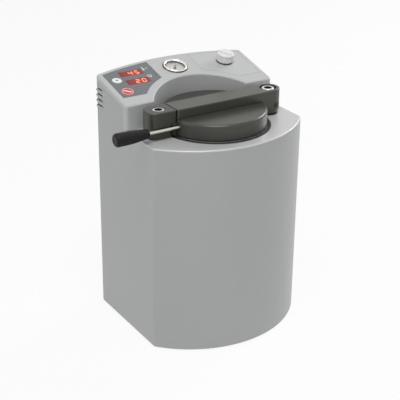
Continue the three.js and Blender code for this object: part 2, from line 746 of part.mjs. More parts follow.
function makeConsoleCover() {
  const low = DECK_TOP + FIT;
  const body = softPrism(
    consoleOutline(0, 0, SCOOP_RADIUS),
    low - 3 * CONSOLE_EDGE,
    CONSOLE_FRONT_Z,
    CONSOLE_EDGE,
    3,
    lean,
  );
  const under = block(0, 0, low - 4 * CONSOLE_EDGE, [3 * WIDTH, 3 * WIDTH, 4 * CONSOLE_EDGE]);
  const far = 2 * WIDTH;
  const lip = (y) => slopeZ(y) - CONSOLE_LIP + FIT;
  const behindSheets = cut(
    sidePrism([
      [WING_START_Y - FIT, 0],
      [far, 0],
      [far, lip(far)],
      [WING_START_Y - FIT, lip(WING_START_Y - FIT)],
    ], -HALF_WIDTH - PAST, HALF_WIDTH + PAST),
    prism(planOutline({ side: BEHIND_FLANGE, rear: BEHIND_FLANGE, frontY: -WIDTH }), -PAST, TALL + far),
  );
  const hollow = softPrism(
    consoleOutline(BEHIND_FLANGE + CONSOLE_WALL, CONSOLE_WALL, SCOOP_RADIUS + CONSOLE_WALL),
    low - 4 * CONSOLE_EDGE,
    CONSOLE_FRONT_Z - CONSOLE_WALL,
    PAST,
    1,
    lean,
  );
  const pocket = (sign) => prism(fieldOutline(sign, 0), -FIELD_DEPTH, CONSOLE_EDGE, PANEL);
  const aperture = prism(fieldOutline(-1, LEDGE), -3 * CONSOLE_WALL, CONSOLE_EDGE, PANEL);
  return cut(
    body,
    under,
    behindSheets,
    hollow,
    pocket(-1),
    pocket(1),
    aperture,
    panelPost(0, GAUGE_Y, GAUGE_BODY_RADIUS + FIT, -3 * CONSOLE_WALL, CONSOLE_EDGE),
    panelPost(...KNOB_AT, STEM_RADIUS + FIT, -3 * CONSOLE_WALL, CONSOLE_EDGE),
    ...louvres(),
  );
}

// Everything on the sloped panel, in the panel's own frame.
function makeMembrane() {
  const top = -FIELD_DEPTH + FIT + MEMBRANE;
  const windows = DISPLAY_Y.map((y) => prism(
    rectangle(DISPLAY_X, upSlope(y), DISPLAY_WIDTH + 2 * FIT, DISPLAY_DEPTH + 2 * FIT),
    -CONSOLE_WALL,
    CONSOLE_WALL,
  ));
  const keyHole = ([x, y], radius) =>
    post(x, upSlope(y), radius + FIT, -CONSOLE_WALL, CONSOLE_WALL);
  return cut(
    prism(fieldOutline(-1, FIT), -FIELD_DEPTH + FIT, top),
    ...windows,
    keyHole(START_KEY, START_KEY_RADIUS),
    keyHole(STOP_KEY, STOP_KEY_RADIUS),
  );
}

function makeRightFascia() {
  const plate = prism(fieldOutline(1, FIT), -FIELD_DEPTH + FIT, -FIELD_DEPTH + FIT + MEMBRANE);
  return cut(plate, post(KNOB_AT[0], upSlope(KNOB_AT[1]), STEM_RADIUS + FIT, -PAST, PAST));
}

const BOARD_TOP = -CONSOLE_WALL - FIT;

function makeDisplayBoard() {
  return prism(fieldOutline(-1, LEDGE / 2), BOARD_TOP - BOARD, BOARD_TOP);
}

function makeDisplay(y) {
  const outline = rectangle(DISPLAY_X, upSlope(y), DISPLAY_WIDTH, DISPLAY_DEPTH);
  return prism(outline, BOARD_TOP + FIT, 0);
}

// A key: a cap through the membrane on a wider flange that the membrane holds in.
function makeKey([x, y], radius) {
  const low = BOARD_TOP + FIT + KEY_TRAVEL;
  return turned([
    [0, low],
    [radius + KEY_FLANGE, low],
    [radius + KEY_FLANGE, -FIELD_DEPTH],
    [radius, -FIELD_DEPTH],
    [radius, KEY_PROUD / 2],
    [radius - KEY_PROUD, KEY_PROUD],
    [0, KEY_PROUD],
  ], shift(x, upSlope(y), 0));
}

const gaugeAt = shift(0, upSlope(GAUGE_Y), 0);
const GAUGE_BORE = GAUGE_BODY_RADIUS - GAUGE_WALL;
const DIAL_TOP = -GAUGE_DIAL_DEPTH;
const DIAL_BOTTOM = DIAL_TOP - MEMBRANE;
const SPINDLE_TOP = DIAL_TOP + FIT + MEMBRANE;

function makeGaugeCase() {
  const floor = DIAL_BOTTOM - FIT;
  return turned([
    [0, -GAUGE_BODY_DEPTH - GAUGE_STEM_LENGTH],
    [GAUGE_STEM_RADIUS, -GAUGE_BODY_DEPTH - GAUGE_STEM_LENGTH],
    [GAUGE_STEM_RADIUS, -GAUGE_BODY_DEPTH],
    [GAUGE_BODY_RADIUS, -GAUGE_BODY_DEPTH],
    [GAUGE_BODY_RADIUS, 0],
    [GAUGE_BORE, 0],
    [GAUGE_BORE, floor],
    [SPINDLE_RADIUS, floor],
    [SPINDLE_RADIUS, SPINDLE_TOP],
    [0, SPINDLE_TOP],
  ], gaugeAt);
}

function makeGaugeBezel() {
  const inner = GAUGE_RADIUS - GAUGE_BEZEL_WIDTH;
  const round = GAUGE_BEZEL_WIDTH / 2;
  const crown = arc(GAUGE_RADIUS - round, GAUGE_BEZEL_HEIGHT - round, round, 0, Math.PI);
  return turned([[inner, FIT], [GAUGE_RADIUS, FIT], ...crown.map((p) => [p.x, p.y])], gaugeAt);
}

function makeGaugeDial() {
  return turned([
    [SPINDLE_RADIUS + FIT, DIAL_BOTTOM],
    [GAUGE_BORE - FIT, DIAL_BOTTOM],
    [GAUGE_BORE - FIT, DIAL_TOP],
    [SPINDLE_RADIUS + FIT, DIAL_TOP],
  ], gaugeAt);
}

// The pointer swings over the dial; its hub caps the spindle.
function makeGaugeNeedle() {
  const low = DIAL_TOP + FIT;
  const high = low + MEMBRANE;
  const half = NEEDLE_WIDTH / 2;
  const pointer = new THREE.Matrix4().makeRotationZ(NEEDLE_BEARING).premultiply(gaugeAt);
  const blade = prism([
    point(-NEEDLE_TAIL, -half),
    point(0, -half),
    point(NEEDLE_LENGTH, -half / 3),
    point(NEEDLE_LENGTH, half / 3),
    point(0, half),
    point(-NEEDLE_TAIL, half),
  ], low, high, pointer);
  const hub = turned([[0, low], [NEEDLE_HUB_RADIUS, low], [NEEDLE_HUB_RADIUS, SPINDLE_TOP + 3 * FIT],
    [0, SPINDLE_TOP + 3 * FIT]], gaugeAt);
  const bore = turned([[0, low - PAST], [SPINDLE_RADIUS + FIT, low - PAST],
    [SPINDLE_RADIUS + FIT, SPINDLE_TOP + FIT], [0, SPINDLE_TOP + FIT]], gaugeAt);
  return cut(join(blade, hub), bore);
}

function makeGaugeGlass() {
  const low = SPINDLE_TOP + 4 * FIT;
  return turned([[0, low], [GAUGE_BORE - FIT, low], [GAUGE_BORE - FIT, 0], [0, 0]], gaugeAt);
}

const knobAt = shift(KNOB_AT[0], upSlope(KNOB_AT[1]), 0);

function makeRegulatorBody() {
  const top = -CONSOLE_WALL - FIT;
  return turned([
    [0, top - REGULATOR_LENGTH],
    [REGULATOR_RADIUS - PAST, top - REGULATOR_LENGTH],
    [REGULATOR_RADIUS, top - REGULATOR_LENGTH + PAST],
    [REGULATOR_RADIUS, top],
    [STEM_RADIUS, top],
    [STEM_RADIUS, STEM_HEIGHT],
    [0, STEM_HEIGHT],
  ], knobAt);
}

function makeKnobRing() {
  return turned([
    [STEM_RADIUS + FIT, FIT],
    [KNOB_RADIUS, FIT],
    [KNOB_RADIUS, KNOB_BASE - FIT],
    [STEM_RADIUS + FIT, KNOB_BASE - FIT],
  ], knobAt);
}

function makeRegulatorKnob() {
  const top = KNOB_BASE + KNOB_HEIGHT;
  const outline = Array.from({ length: 2 * KNOB_RIBS }, (_, i) => {
    const radius = KNOB_RADIUS - (i % 2) * KNOB_RIB_DEPTH;
    const angle = (Math.PI / KNOB_RIBS) * i;
    return point(radius * Math.cos(angle), radius * Math.sin(angle));
  });
  const cap = prism(outline, KNOB_BASE, top, knobAt);
  const crown = turned([
    [0, KNOB_BASE],
    [KNOB_RADIUS + PAST, KNOB_BASE],
    [KNOB_RADIUS + PAST, top - 2],
    [KNOB_RADIUS - 2, top],
    [0, top],
  ], knobAt);
  const bore = turned([
    [0, KNOB_BASE - PAST],
    [STEM_RADIUS + FIT, KNOB_BASE - PAST],
    [STEM_RADIUS + FIT, STEM_HEIGHT + FIT],
    [0, STEM_HEIGHT + FIT],
  ], knobAt);
  return cut(cap.intersect(crown), bore);
}

// Chamber pot with its seal groove and the port block for the valves.
function makePressureVessel() {
  const top = DECK_TOP + RIM_PROUD;
  const grooveIn = SEAL_INNER_RADIUS - FIT;
  const grooveOut = SEAL_INNER_RADIUS + SEAL_SECTION + FIT;
  const pot = turned([
    [0, VESSEL_BOTTOM],
    [VESSEL_RADIUS, VESSEL_BOTTOM],
    [VESSEL_RADIUS, RIM_BOTTOM],
    [RIM_RADIUS, RIM_BOTTOM],
    [RIM_RADIUS, top],
    [grooveOut, top],
    [grooveOut, top - SEAL_GROOVE_DEPTH],
    [grooveIn, top - SEAL_GROOVE_DEPTH],
    [grooveIn, top],
    [CHAMBER_RADIUS, top],
    [CHAMBER_RADIUS, CHAMBER_FLOOR],
    [0, CHAMBER_FLOOR],
  ]);
  const low = DECK_TOP - PORT_BLOCK_BELOW_DECK;
  const middle = (VESSEL_RADIUS + PORT_BLOCK_REACH) / 2;
  const ports = block(0, middle - VESSEL_WALL, low, [
    2 * PORT_BLOCK_HALF_WIDTH,
    PORT_BLOCK_REACH - VESSEL_RADIUS + 2 * VESSEL_WALL,
    PORT_BLOCK_HEIGHT,
  ]);
  const clear = post(0, 0, VESSEL_RADIUS - PAST, low - PAST, low + PORT_BLOCK_HEIGHT + PAST);
  const probe = turned([[0, 0], [PROBE_RADIUS + FIT, 0], [PROBE_RADIUS + FIT, VESSEL_WALL - 2],
    [0, VESSEL_WALL - 2]], probePlace(2));
  return cut(join(pot, cut(ports, clear)), probe);
}

// Place on the pot's left wall, at a distance from the chamber, pointing away from it.
function probePlace(fromBore) {
  return new THREE.Matrix4()
    .makeRotationY(-Math.PI / 2)
    .setPosition(-CHAMBER_RADIUS - fromBore, 0, CHAMBER_FLOOR + PROBE_ABOVE_FLOOR);
}

function makeTemperatureSensor() {
  const reach = VESSEL_WALL - 2;
  return turned([
    [0, FIT],
    [PROBE_RADIUS, FIT],
    [PROBE_RADIUS, reach + FIT],
    [1.6 * PROBE_RADIUS, reach + FIT],
    [1.6 * PROBE_RADIUS, reach + 1.5 * PROBE_RADIUS],
    [0.7 * PROBE_RADIUS, reach + 1.5 * PROBE_RADIUS],
    [0.7 * PROBE_RADIUS, PROBE_LENGTH],
    [0, PROBE_LENGTH],
  ], probePlace(2));
}

function makeLidSeal() {
  const centre = SEAL_INNER_RADIUS + SEAL_SECTION / 2;
  const low = DECK_TOP + RIM_PROUD - SEAL_GROOVE_DEPTH + FIT;
  const high = DECK_TOP + SEAL_PROUD;
  const half = SEAL_SECTION / 2;
  return turned([
    [centre - half, low],
    [centre + half, low],
    [centre + half, high - half],
    [centre + half / 2, high],
    [centre - half / 2, high],
    [centre - half, high - half],
  ]);
}

function makeOpeningTrim() {
  const inner = RIM_RADIUS + FIT;
  const outer = DECK_OPENING_RADIUS - FIT;
  return turned([
    [inner, YOKE_TOP + FIT],
    [outer, YOKE_TOP + FIT],
    [outer, DECK_TOP - 0.5],
    [outer - 0.5, DECK_TOP],
    [inner, DECK_TOP],
  ]);
}

// Steel plate under the deck that ties the catch and the pivot to the pot's rim.
function makeYokePlate() {
  const ears = roundedRectangle(
    -PIVOT_X - YOKE_HALF_WIDTH,
    PIVOT_X + YOKE_HALF_WIDTH,
    -YOKE_HALF_WIDTH,
    YOKE_HALF_WIDTH,
    Array(4).fill(YOKE_HALF_WIDTH / 2),
  );
  return cut(
    join(prism(ears, YOKE_BOTTOM, YOKE_TOP), post(0, 0, YOKE_RADIUS, YOKE_BOTTOM, YOKE_TOP)),
    post(0, 0, VESSEL_RADIUS + FIT, YOKE_BOTTOM - PAST, YOKE_TOP + PAST),
    post(0, 0, RIM_RADIUS + FIT, RIM_BOTTOM - FIT, YOKE_TOP + PAST),
    boltHole(-PIVOT_X, BOLT_RADIUS),
    boltHole(PIVOT_X, BOLT_RADIUS),
  );
}

const sleeve = (inner, thickness, low, high) => turned([
  [inner, low],
  [inner + thickness, low],
  [inner + thickness, high],
  [inner, high],
]);

const probeGap = () => turned([
  [0, 0],
  [1.6 * PROBE_RADIUS + FIT, 0],
  [1.6 * PROBE_RADIUS + FIT, PROBE_LENGTH],
  [0, PROBE_LENGTH],
], probePlace(VESSEL_WALL));

function makeHeaterBand() {
  const low = VESSEL_BOTTOM + VESSEL_FLOOR;
  return sleeve(VESSEL_RADIUS + FIT, HEATER_THICKNESS, low, low + HEATER_HEIGHT);
}

function makeInsulationJacket() {
  const inner = VESSEL_RADIUS + HEATER_THICKNESS + 2 * FIT;
  const high = DECK_TOP - JACKET_TOP_BELOW_DECK;
  return cut(sleeve(inner, JACKET_THICKNESS, VESSEL_BOTTOM, high), probeGap());
}

function makeVesselStand() {
  const low = BASE_TOP + FIT;
  const high = VESSEL_BOTTOM - FIT;
  return turned([
    [STAND_INNER_RADIUS, low],
    [STAND_INNER_RADIUS + STAND_FOOT_WIDTH, low],
    [STAND_INNER_RADIUS + STAND_FOOT_WIDTH, low + STAND_FOOT_THICKNESS],
    [STAND_INNER_RADIUS + STAND_WALL, low + STAND_FOOT_THICKNESS],
    [STAND_INNER_RADIUS + STAND_WALL, high],
    [STAND_INNER_RADIUS, high],
  ]);
}

// Socket-head bolt with its head's top at a height; the shoulder may be wider than the thread.
function socketBolt(x, headRadius, shoulderRadius, shoulderLow, top) {
  const low = YOKE_BOTTOM - NUT_HEIGHT - FIT - THREAD_PAST_NUT;
  const bolt = turned([
    [0, low],
    [BOLT_RADIUS, low],
    [BOLT_RADIUS, shoulderLow],
    [shoulderRadius, shoulderLow],
    [shoulderRadius, top - BOLT_HEAD],
    [headRadius, top - BOLT_HEAD],
    ...roundOver(headRadius, top, 1),
    [0, top],
  ], shift(x, 0, 0));
  return cut(bolt, prism(hexagon(x, 0, SOCKET_FLATS), top - SOCKET_DEPTH, top + PAST));
}

function makeNut(x) {
  const high = YOKE_BOTTOM - FIT;
  return cut(
    prism(hexagon(x, 0, NUT_FLATS), high - NUT_HEIGHT, high),
    post(x, 0, BOLT_RADIUS + FIT, high - NUT_HEIGHT - PAST, high + PAST),
  );
}

// Fixed block whose hook holds the arm's nose down.
function makeCatchBlock() {
  const low = DECK_TOP + FIT;
  const top = DECK_TOP + ARM_TOP;
  const outline = roundedRectangle(
    CATCH_LEFT_X,
    CATCH_RIGHT_X,
    -ARM_HALF_WIDTH,
    ARM_HALF_WIDTH,
    [CATCH_FRONT_CORNER, 2 * ARM_EDGE, 2 * ARM_EDGE, CATCH_REAR_CORNER],
  );
  const body = softPrism(outline, low - ARM_EDGE, top, ARM_EDGE, 2);
  const under = block(0, 0, low - 4 * ARM_EDGE, [3 * WIDTH, WIDTH, 4 * ARM_EDGE]);
  const mouth = block(HOOK_INNER_X + WIDTH / 2, 0, low - PAST, [
    WIDTH,
    WIDTH,
    CATCH_HOOK_UNDERSIDE - FIT + PAST,
  ]);
  return cut(
    body,
    under,
    mouth,
    post(-PIVOT_X, 0, BOLT_HEAD_RADIUS + FIT, top - BOLT_HEAD - BOLT_SUNK - FIT, top + PAST),
    post(-PIVOT_X, 0, BOLT_RADIUS + FIT, low - PAST, top + PAST),
  );
}

// Yoke arm: a bar over the lid, a nose under the hook at the left, a round leg at the pivot.
function makeLidArm() {
  const top = DECK_TOP + ARM_TOP;
  const floor = DECK_TOP + LID_CHANNEL_FLOOR + FIT;
  const bottom = DECK_TOP + ARM_LEG_BOTTOM;
  const spread = (radius) => Math.asin(ARM_HALF_WIDTH / radius);
  const barOutline = (radius) => [
    ...arc(PIVOT_X, 0, ARM_HALF_WIDTH, -Math.PI / 2, Math.PI / 2),
    ...arc(PIVOT_X, 0, radius, Math.PI - spread(radius), Math.PI + spread(radius)),
  ];
  const bar = softPrism(barOutline(ARM_NOSE_RADIUS), floor - ARM_EDGE, top, ARM_EDGE, 2);
  const under = block(0, 0, floor - 4 * ARM_EDGE, [4 * WIDTH, WIDTH, 4 * ARM_EDGE]);
  const noseTop = DECK_TOP + CATCH_HOOK_UNDERSIDE - HOOK_GAP;
  const noseBottom = DECK_TOP + LID_UNDERSIDE;
  const noseCut = block(NOSE_ROOT_X + WIDTH / 2, 0, noseBottom - PAST, [WIDTH, WIDTH, WIDTH]);
  const nose = cut(prism(barOutline(TONGUE_RADIUS), noseBottom, noseTop), noseCut);
  const leg = turned([
    [0, bottom],
    [ARM_HALF_WIDTH - ARM_LEG_TAPER, bottom],
    [ARM_HALF_WIDTH, bottom + ARM_LEG_TAPER_HEIGHT],
    [ARM_HALF_WIDTH, top - 2 * ARM_EDGE],
    [0, top - 2 * ARM_EDGE],
  ], shift(PIVOT_X, 0, 0));
  const screwHoles = [-1, 1].map((sign) => post(
    sign * LID_SCREW_X,
    0,
    LID_SCREW_RADIUS + FIT,
    floor - PAST,
    floor + LID_SCREW_GRIP + FIT,
  ));
  return cut(
    join(cut(bar, under), nose, leg),
    post(PIVOT_X, 0, ARM_BORE, bottom - PAST, top + PAST),
    post(PIVOT_X, 0, PIVOT_COUNTERBORE, PIVOT_HEAD_UNDERSIDE - BUSH_FLANGE - 2 * FIT, top + PAST),
    ...screwHoles,
  );
}

const PIVOT_HEAD_UNDERSIDE = DECK_TOP + ARM_TOP - BOLT_SUNK - BOLT_HEAD;

function makePivotBush() {
  const inner = PIVOT_SHOULDER_RADIUS + FIT;
  const low = DECK_TOP + ARM_LEG_BOTTOM;
  const high = PIVOT_HEAD_UNDERSIDE - FIT;
  return turned([
    [inner, low],
    [BUSH_RADIUS, low],
    [BUSH_RADIUS, high - BUSH_FLANGE],
    [PIVOT_COUNTERBORE - FIT, high - BUSH_FLANGE],
    [PIVOT_COUNTERBORE - FIT, high],
    [inner, high],
  ], shift(PIVOT_X, 0, 0));
}

function makePivotWasher() {
  const inner = PIVOT_SHOULDER_RADIUS + FIT;
  const low = DECK_TOP + FIT;
  const high = DECK_TOP + ARM_LEG_BOTTOM - FIT;
  return turned([[inner, low], [WASHER_RADIUS, low], [WASHER_RADIUS, high], [inner, high]],
    shift(PIVOT_X, 0, 0));
}

// Lid: a disc with rounded rim, a channel across it for the bar and a notch for the nose.
function makeChamberLid() {
  const low = DECK_TOP + LID_UNDERSIDE;
  const top = DECK_TOP + LID_TOP;
  const disc = turned([
    [0, low + LID_DISH_DEPTH],
    [LID_DISH_RADIUS, low + LID_DISH_DEPTH],
    [LID_DISH_RADIUS, low],
    [LID_RADIUS, low],
    ...roundOver(LID_RADIUS, top, LID_EDGE),
    [0, top],
  ]);
  const half = ARM_HALF_WIDTH + FIT;
  const floor = DECK_TOP + LID_CHANNEL_FLOOR;
  const shoulder = LID_CHANNEL_SHOULDER;
  const flare = arc(half + shoulder, top - shoulder, shoulder, Math.PI, Math.PI / 2)
    .map((p) => [p.x, p.y]);
  const mirrored = flare.map(([y, z]) => [-y, z]).reverse();
  const channel = sidePrism([
    [-half, floor],
    [half, floor],
    ...flare,
    [half + shoulder, top + PAST],
    [-half - shoulder, top + PAST],
    ...mirrored,
  ], -WIDTH, WIDTH);
  const noseNotch = block(NOSE_ROOT_X + FIT - WIDTH / 2, 0, low - PAST, [WIDTH, 2 * half, WIDTH]);
  const hookLevel = DECK_TOP + CATCH_HOOK_UNDERSIDE - HOOK_GAP;
  const hookRelief = cut(
    block(-WIDTH / 2, WIDTH / 2, hookLevel, [WIDTH, WIDTH, WIDTH]),
    post(PIVOT_X, 0, ARM_NOSE_RADIUS, hookLevel - PAST, TALL + WIDTH),
  );
  const legNotch = post(PIVOT_X, 0, ARM_HALF_WIDTH + SWING_GAP, low - PAST, top + PAST);
  const rodHole = turned([[0, 0], [ROD_RADIUS + FIT, 0], [ROD_RADIUS + FIT, WIDTH], [0, WIDTH]],
    alongLever(ROD_INSIDE_X + FIT));
  const screws = [-1, 1].flatMap((sign) => [
    post(sign * LID_SCREW_X, 0, LID_SCREW_RADIUS + FIT, low - PAST, top),
    post(sign * LID_SCREW_X, 0, LID_SCREW_HEAD_RADIUS + FIT, low - PAST,
      low + LID_DISH_DEPTH + LID_SCREW_HEAD + FIT),
  ]);
  return cut(disc, channel, noseNotch, hookRelief, legNotch, rodHole, ...screws);
}

function makeLidScrew(sign) {
  const head = DECK_TOP + LID_UNDERSIDE + LID_DISH_DEPTH;
  const tip = DECK_TOP + LID_CHANNEL_FLOOR + FIT + LID_SCREW_GRIP;
  return turned([
    [0, head],
    [LID_SCREW_HEAD_RADIUS, head],
    [LID_SCREW_HEAD_RADIUS, head + LID_SCREW_HEAD],
    [LID_SCREW_RADIUS, head + LID_SCREW_HEAD],
    [LID_SCREW_RADIUS, tip],
    [0, tip],
  ], shift(sign * LID_SCREW_X, 0, 0));
}

// Place on the lever's axis: +Z points left, away from the lid.
function alongLever(x) {
  return new THREE.Matrix4().makeRotationY(-Math.PI / 2).setPosition(x, LEVER_Y, LEVER_Z);
}

function makeLeverRod() {
  const length = ROD_INSIDE_X - GRIP_START_X + ROD_INSIDE_GRIP;
  return turned([
    [0, 0],
    [ROD_RADIUS, 0],
    [ROD_RADIUS, length],
    [0, length],
  ], alongLever(ROD_INSIDE_X));
}

// Tapered grip: narrow at the rod, wider towards a rounded end.
function makeLeverGrip() {
  const bore = ROD_INSIDE_GRIP + FIT;
  const rounded = arc(GRIP_END_RADIUS - GRIP_ROUND, GRIP_LENGTH - GRIP_ROUND, GRIP_ROUND, 0, Math.PI / 2)
    .map((p) => [p.x, p.y]);
  return turned([
    [ROD_RADIUS + FIT, 0],
    [GRIP_RADIUS - 1, 0],
    [GRIP_RADIUS, 1],
    [GRIP_NECK, 0.2 * GRIP_LENGTH],
    [0.72 * GRIP_END_RADIUS + 0.28 * GRIP_NECK, 0.43 * GRIP_LENGTH],
    [GRIP_END_RADIUS - 0.15, 0.68 * GRIP_LENGTH],
    ...rounded,
    [0, GRIP_LENGTH],
    [0, bore],
    [ROD_RADIUS + FIT, bore],
  ], alongLever(GRIP_START_X));
}

// Rear fittings, each in a frame whose +Z leaves the rear panel
function makeRearScrew() {
  return turned([
    [0, -REAR_SCREW_LENGTH],
    [REAR_SCREW_RADIUS, -REAR_SCREW_LENGTH],
    [REAR_SCREW_RADIUS, FIT],
    [REAR_SCREW_HEAD_RADIUS, FIT],
    [REAR_SCREW_HEAD_RADIUS, REAR_SCREW_HEAD / 2],
    [REAR_SCREW_HEAD_RADIUS - PAST, REAR_SCREW_HEAD],
    [0, REAR_SCREW_HEAD],
  ]);
}

function makeMainsInlet() {
  const face = FIT + FLANGE;
  const shell = join(
    prism(rectangle(0, 0, ...MAINS_FLANGE), FIT + FIT, face),
    prism(rectangle(0, 0, ...MAINS_BODY), -MAINS_BODY_DEPTH, face),
  );
  const floor = face - MAINS_CAVITY_DEPTH;
  const cavity = prism(rectangle(0, 0, ...MAINS_CAVITY), floor, face + PAST);
  const pins = PIN_OFFSETS.map(([x, y]) =>
    prism(rectangle(x, y, ...PIN_SIZE), floor - PAST, floor + PIN_LENGTH));
  return join(cut(shell, cavity), ...pins);
}

function makeSwitchFrame() {
  const face = 2 * FIT + FLANGE;
  const shell = join(
    prism(rectangle(0, 0, ...SWITCH_OUTER), 2 * FIT, face),
    prism(rectangle(0, 0, ...SWITCH_HOLE), -SWITCH_BODY_DEPTH, face),
  );
  const well = prism(rectangle(0, 0, SWITCH_HOLE[0] - 3, SWITCH_HOLE[1] - 3), -8, face + PAST);
  return cut(shell, well);
}

// Rocker: a slice of a round bar, cut by a shallow V, tilted to its "on" side.
function makeRocker() {
  const width = SWITCH_HOLE[0] - 3 - 2 * FIT;
  const half = (SWITCH_HOLE[1] - 3) / 2 - 2 * FIT;
  const geometry = new THREE.ExtrudeGeometry(new THREE.Shape([
    point(-half * 0.9, 0),
    point(0, -4.5),
    point(half * 0.9, 0),
    point(half, 3.6),
    point(0, 2.6),
    point(-half, 3.6),
  ]), { depth: width, bevelEnabled: false });
  geometry.translate(0, 0, -width / 2);
  geometry.rotateZ(ROCKER_TILT);
  geometry.applyMatrix4(new THREE.Matrix4().makeBasis(
    new THREE.Vector3(0, 1, 0),
    new THREE.Vector3(0, 0, 1),
    new THREE.Vector3(1, 0, 0),
  ));
  return solid(geometry);
}

function makeAirNipple() {
  const hex = prism(hexagon(0, 0, NIPPLE_HEX), FIT, 6);
  const body = turned([
    [NIPPLE_BORE, -NIPPLE_INSIDE],
    [NIPPLE_RADIUS, -NIPPLE_INSIDE],
    [NIPPLE_RADIUS, 6],
    [4.5, 7],
    [4.5, 12],
    [5.8, 13],
    [5.8, 15],
    [4.6, 16.5],
    [4.6, NIPPLE_REACH],
    [NIPPLE_BORE, NIPPLE_REACH],
  ]);
  const bore = post(0, 0, NIPPLE_BORE, -NIPPLE_INSIDE - PAST, NIPPLE_REACH + PAST);
  return cut(join(hex, body), bore);
}

function makeSilencer() {
  const profile = [
    [0, -NIPPLE_INSIDE],
    [NIPPLE_RADIUS, -NIPPLE_INSIDE],
    [NIPPLE_RADIUS, FIT],
    [SILENCER_RADIUS, FIT],
    [SILENCER_RADIUS, 5],
    [SILENCER_RADIUS - 1.5, 6],
    ...roundOver(SILENCER_RADIUS - 1.5, SILENCER_REACH, 4),
    [0, SILENCER_REACH],
  ];
  return turned(profile);
}

// Inside fittings
function makeValve(sign) {
  const [width, depth, height] = VALVE_SIZE;
  const low = DECK_TOP - PORT_BLOCK_BELOW_DECK - FIT - 8;
  const y = PORT_BLOCK_REACH + FIT + depth / 2;
  const body = block(sign * VALVE_X, y, low, [width, depth, height - COIL_HEIGHT]);
  const coil = post(sign * VALVE_X, y, COIL_RADIUS, low + height - COIL_HEIGHT - PAST, low + height);
  return join(body, coil);
}

function makeSafetyValve() {
  const x = PORT_BLOCK_HALF_WIDTH + FIT;
  const z = DECK_TOP - PORT_BLOCK_BELOW_DECK + PORT_BLOCK_HEIGHT / 2;
  const place = new THREE.Matrix4().makeRotationY(Math.PI / 2).setPosition(x, VESSEL_RADIUS + SAFETY_VALVE_TO_POT, z);
  return turned([
    [0, 0],
    [SAFETY_VALVE_RADIUS, 0],
    [SAFETY_VALVE_RADIUS, SAFETY_VALVE_LENGTH - 6],
    [SAFETY_VALVE_RADIUS - 3, SAFETY_VALVE_LENGTH - 5],
    [SAFETY_VALVE_RADIUS - 3, SAFETY_VALVE_LENGTH],
    [0, SAFETY_VALVE_LENGTH],
  ], place);
}

function makeTransformer() {
  const [width, depth, height] = TRANSFORMER_SIZE;
  const [x, y] = TRANSFORMER_AT;
  const low = BASE_TOP + FIT;
  const inset = TRANSFORMER_COIL_INSET;
  const core = block(x, y, low, [width, depth - 2 * inset, height]);
  const coil = block(x, y, low + inset, [width - 2 * inset, depth, height - 2 * inset]);
  return join(core, coil);
}

function makeControlBoard() {
  const [width, depth] = BOARD_SIZE;
  const [x, y] = BOARD_AT;
  const low = BASE_TOP + FIT;
  const plate = block(x, y, low + BOARD_STANDOFF, [width, depth, BOARD]);
  const face = low + BOARD_STANDOFF + BOARD / 2;
  const postX = width / 2 - BOARD_POST_INSET;
  const postY = depth / 2 - BOARD_POST_INSET;
  const corners = [-1, 1].flatMap((sx) => [-1, 1].map((sy) =>
    post(x + sx * postX, y + sy * postY, BOARD_POST_RADIUS, low, low + BOARD_STANDOFF + PAST)));
  const relay = block(x - RELAY_OFFSET, y, face, RELAY_SIZE);
  const sink = block(x + HEAT_SINK_OFFSET[0], y + HEAT_SINK_OFFSET[1], face, HEAT_SINK_SIZE);
  return join(plate, ...corners, relay, sink);
}

// Air tube along a smooth curve through the given points.
function makeTube(points, steps) {
  const path = new THREE.CatmullRomCurve3(points, false, "centripetal");
  const section = Array.from({ length: TUBE_SIDES }, (_, i) => {
    const angle = (2 * Math.PI * i) / TUBE_SIDES;
    return point(TUBE_RADIUS * Math.cos(angle), TUBE_RADIUS * Math.sin(angle));
  });
  return solid(new THREE.ExtrudeGeometry(new THREE.Shape(section), { steps, extrudePath: path }));
}

const at = (x, y, z) => new THREE.Vector3(x, y, z);

// A point in a frame, carried to the assembly.
const carried = (matrix, x, y, z) => at(x, y, z).applyMatrix4(matrix);

function makeSupplyTube() {
  const behind = (distance) => carried(onRear(NIPPLE_X, NIPPLE_Z), 0, 0, -NIPPLE_INSIDE - distance);
  const port = (drop) => carried(
    PANEL,
    KNOB_AT[0] + REGULATOR_PORT[0],
    upSlope(KNOB_AT[1]) + REGULATOR_PORT[1],
    BOARD_TOP - REGULATOR_LENGTH - drop,
  );
  const [holeX, holeY] = SUPPLY_HOLE;
  return makeTube([
    behind(FIT),
    behind(TUBE_STRAIGHT),
    at(NIPPLE_X + FIT, holeY, NIPPLE_Z + TUBE_BEND),
    at(holeX, holeY, SILENCER_Z + TUBE_RISE),
    at(holeX, holeY, PLATE_Z - 2 * TUBE_STRAIGHT),
    at(holeX, holeY, DECK_TOP),
    port(TUBE_STRAIGHT),
    port(FIT),
  ], 32);
}

const assembly = new THREE.Group();
const panelGroup = new THREE.Group();
panelGroup.applyMatrix4(PANEL);
assembly.add(panelGroup);

function addPart(parent, name, made, material) {
  const mesh = new THREE.Mesh(geometryOf(made), material);
  mesh.name = name;
  parent.add(mesh);
  return mesh;
}

// A mesh on the rear panel, in a group of its own that carries the place.
function addOnRear(name, made, material, x, z) {
  const carrier = new THREE.Group();
  carrier.applyMatrix4(onRear(x, z));
  assembly.add(carrier);
  addPart(carrier, name, made, material);
}

// Casing
addPart(assembly, "housing_shell", makeHousingShell(), SILVER_PAINT);
addPart(assembly, "rear_panel", makeRearPanel(), SILVER_PAINT);
addPart(assembly, "base_plate", makeBasePlate(), GALVANISED);
for (const [name, [x, y]] of Object.entries(footPlaces)) {
  addPart(assembly, name, makeFoot(), RUBBER).position.set(x, y, 0);
}
addPart(assembly, "deck_plate", makeDeckPlate(), DECK_PAINT);
addPart(assembly, "console_cover", makeConsoleCover(), CONSOLE_GREY);

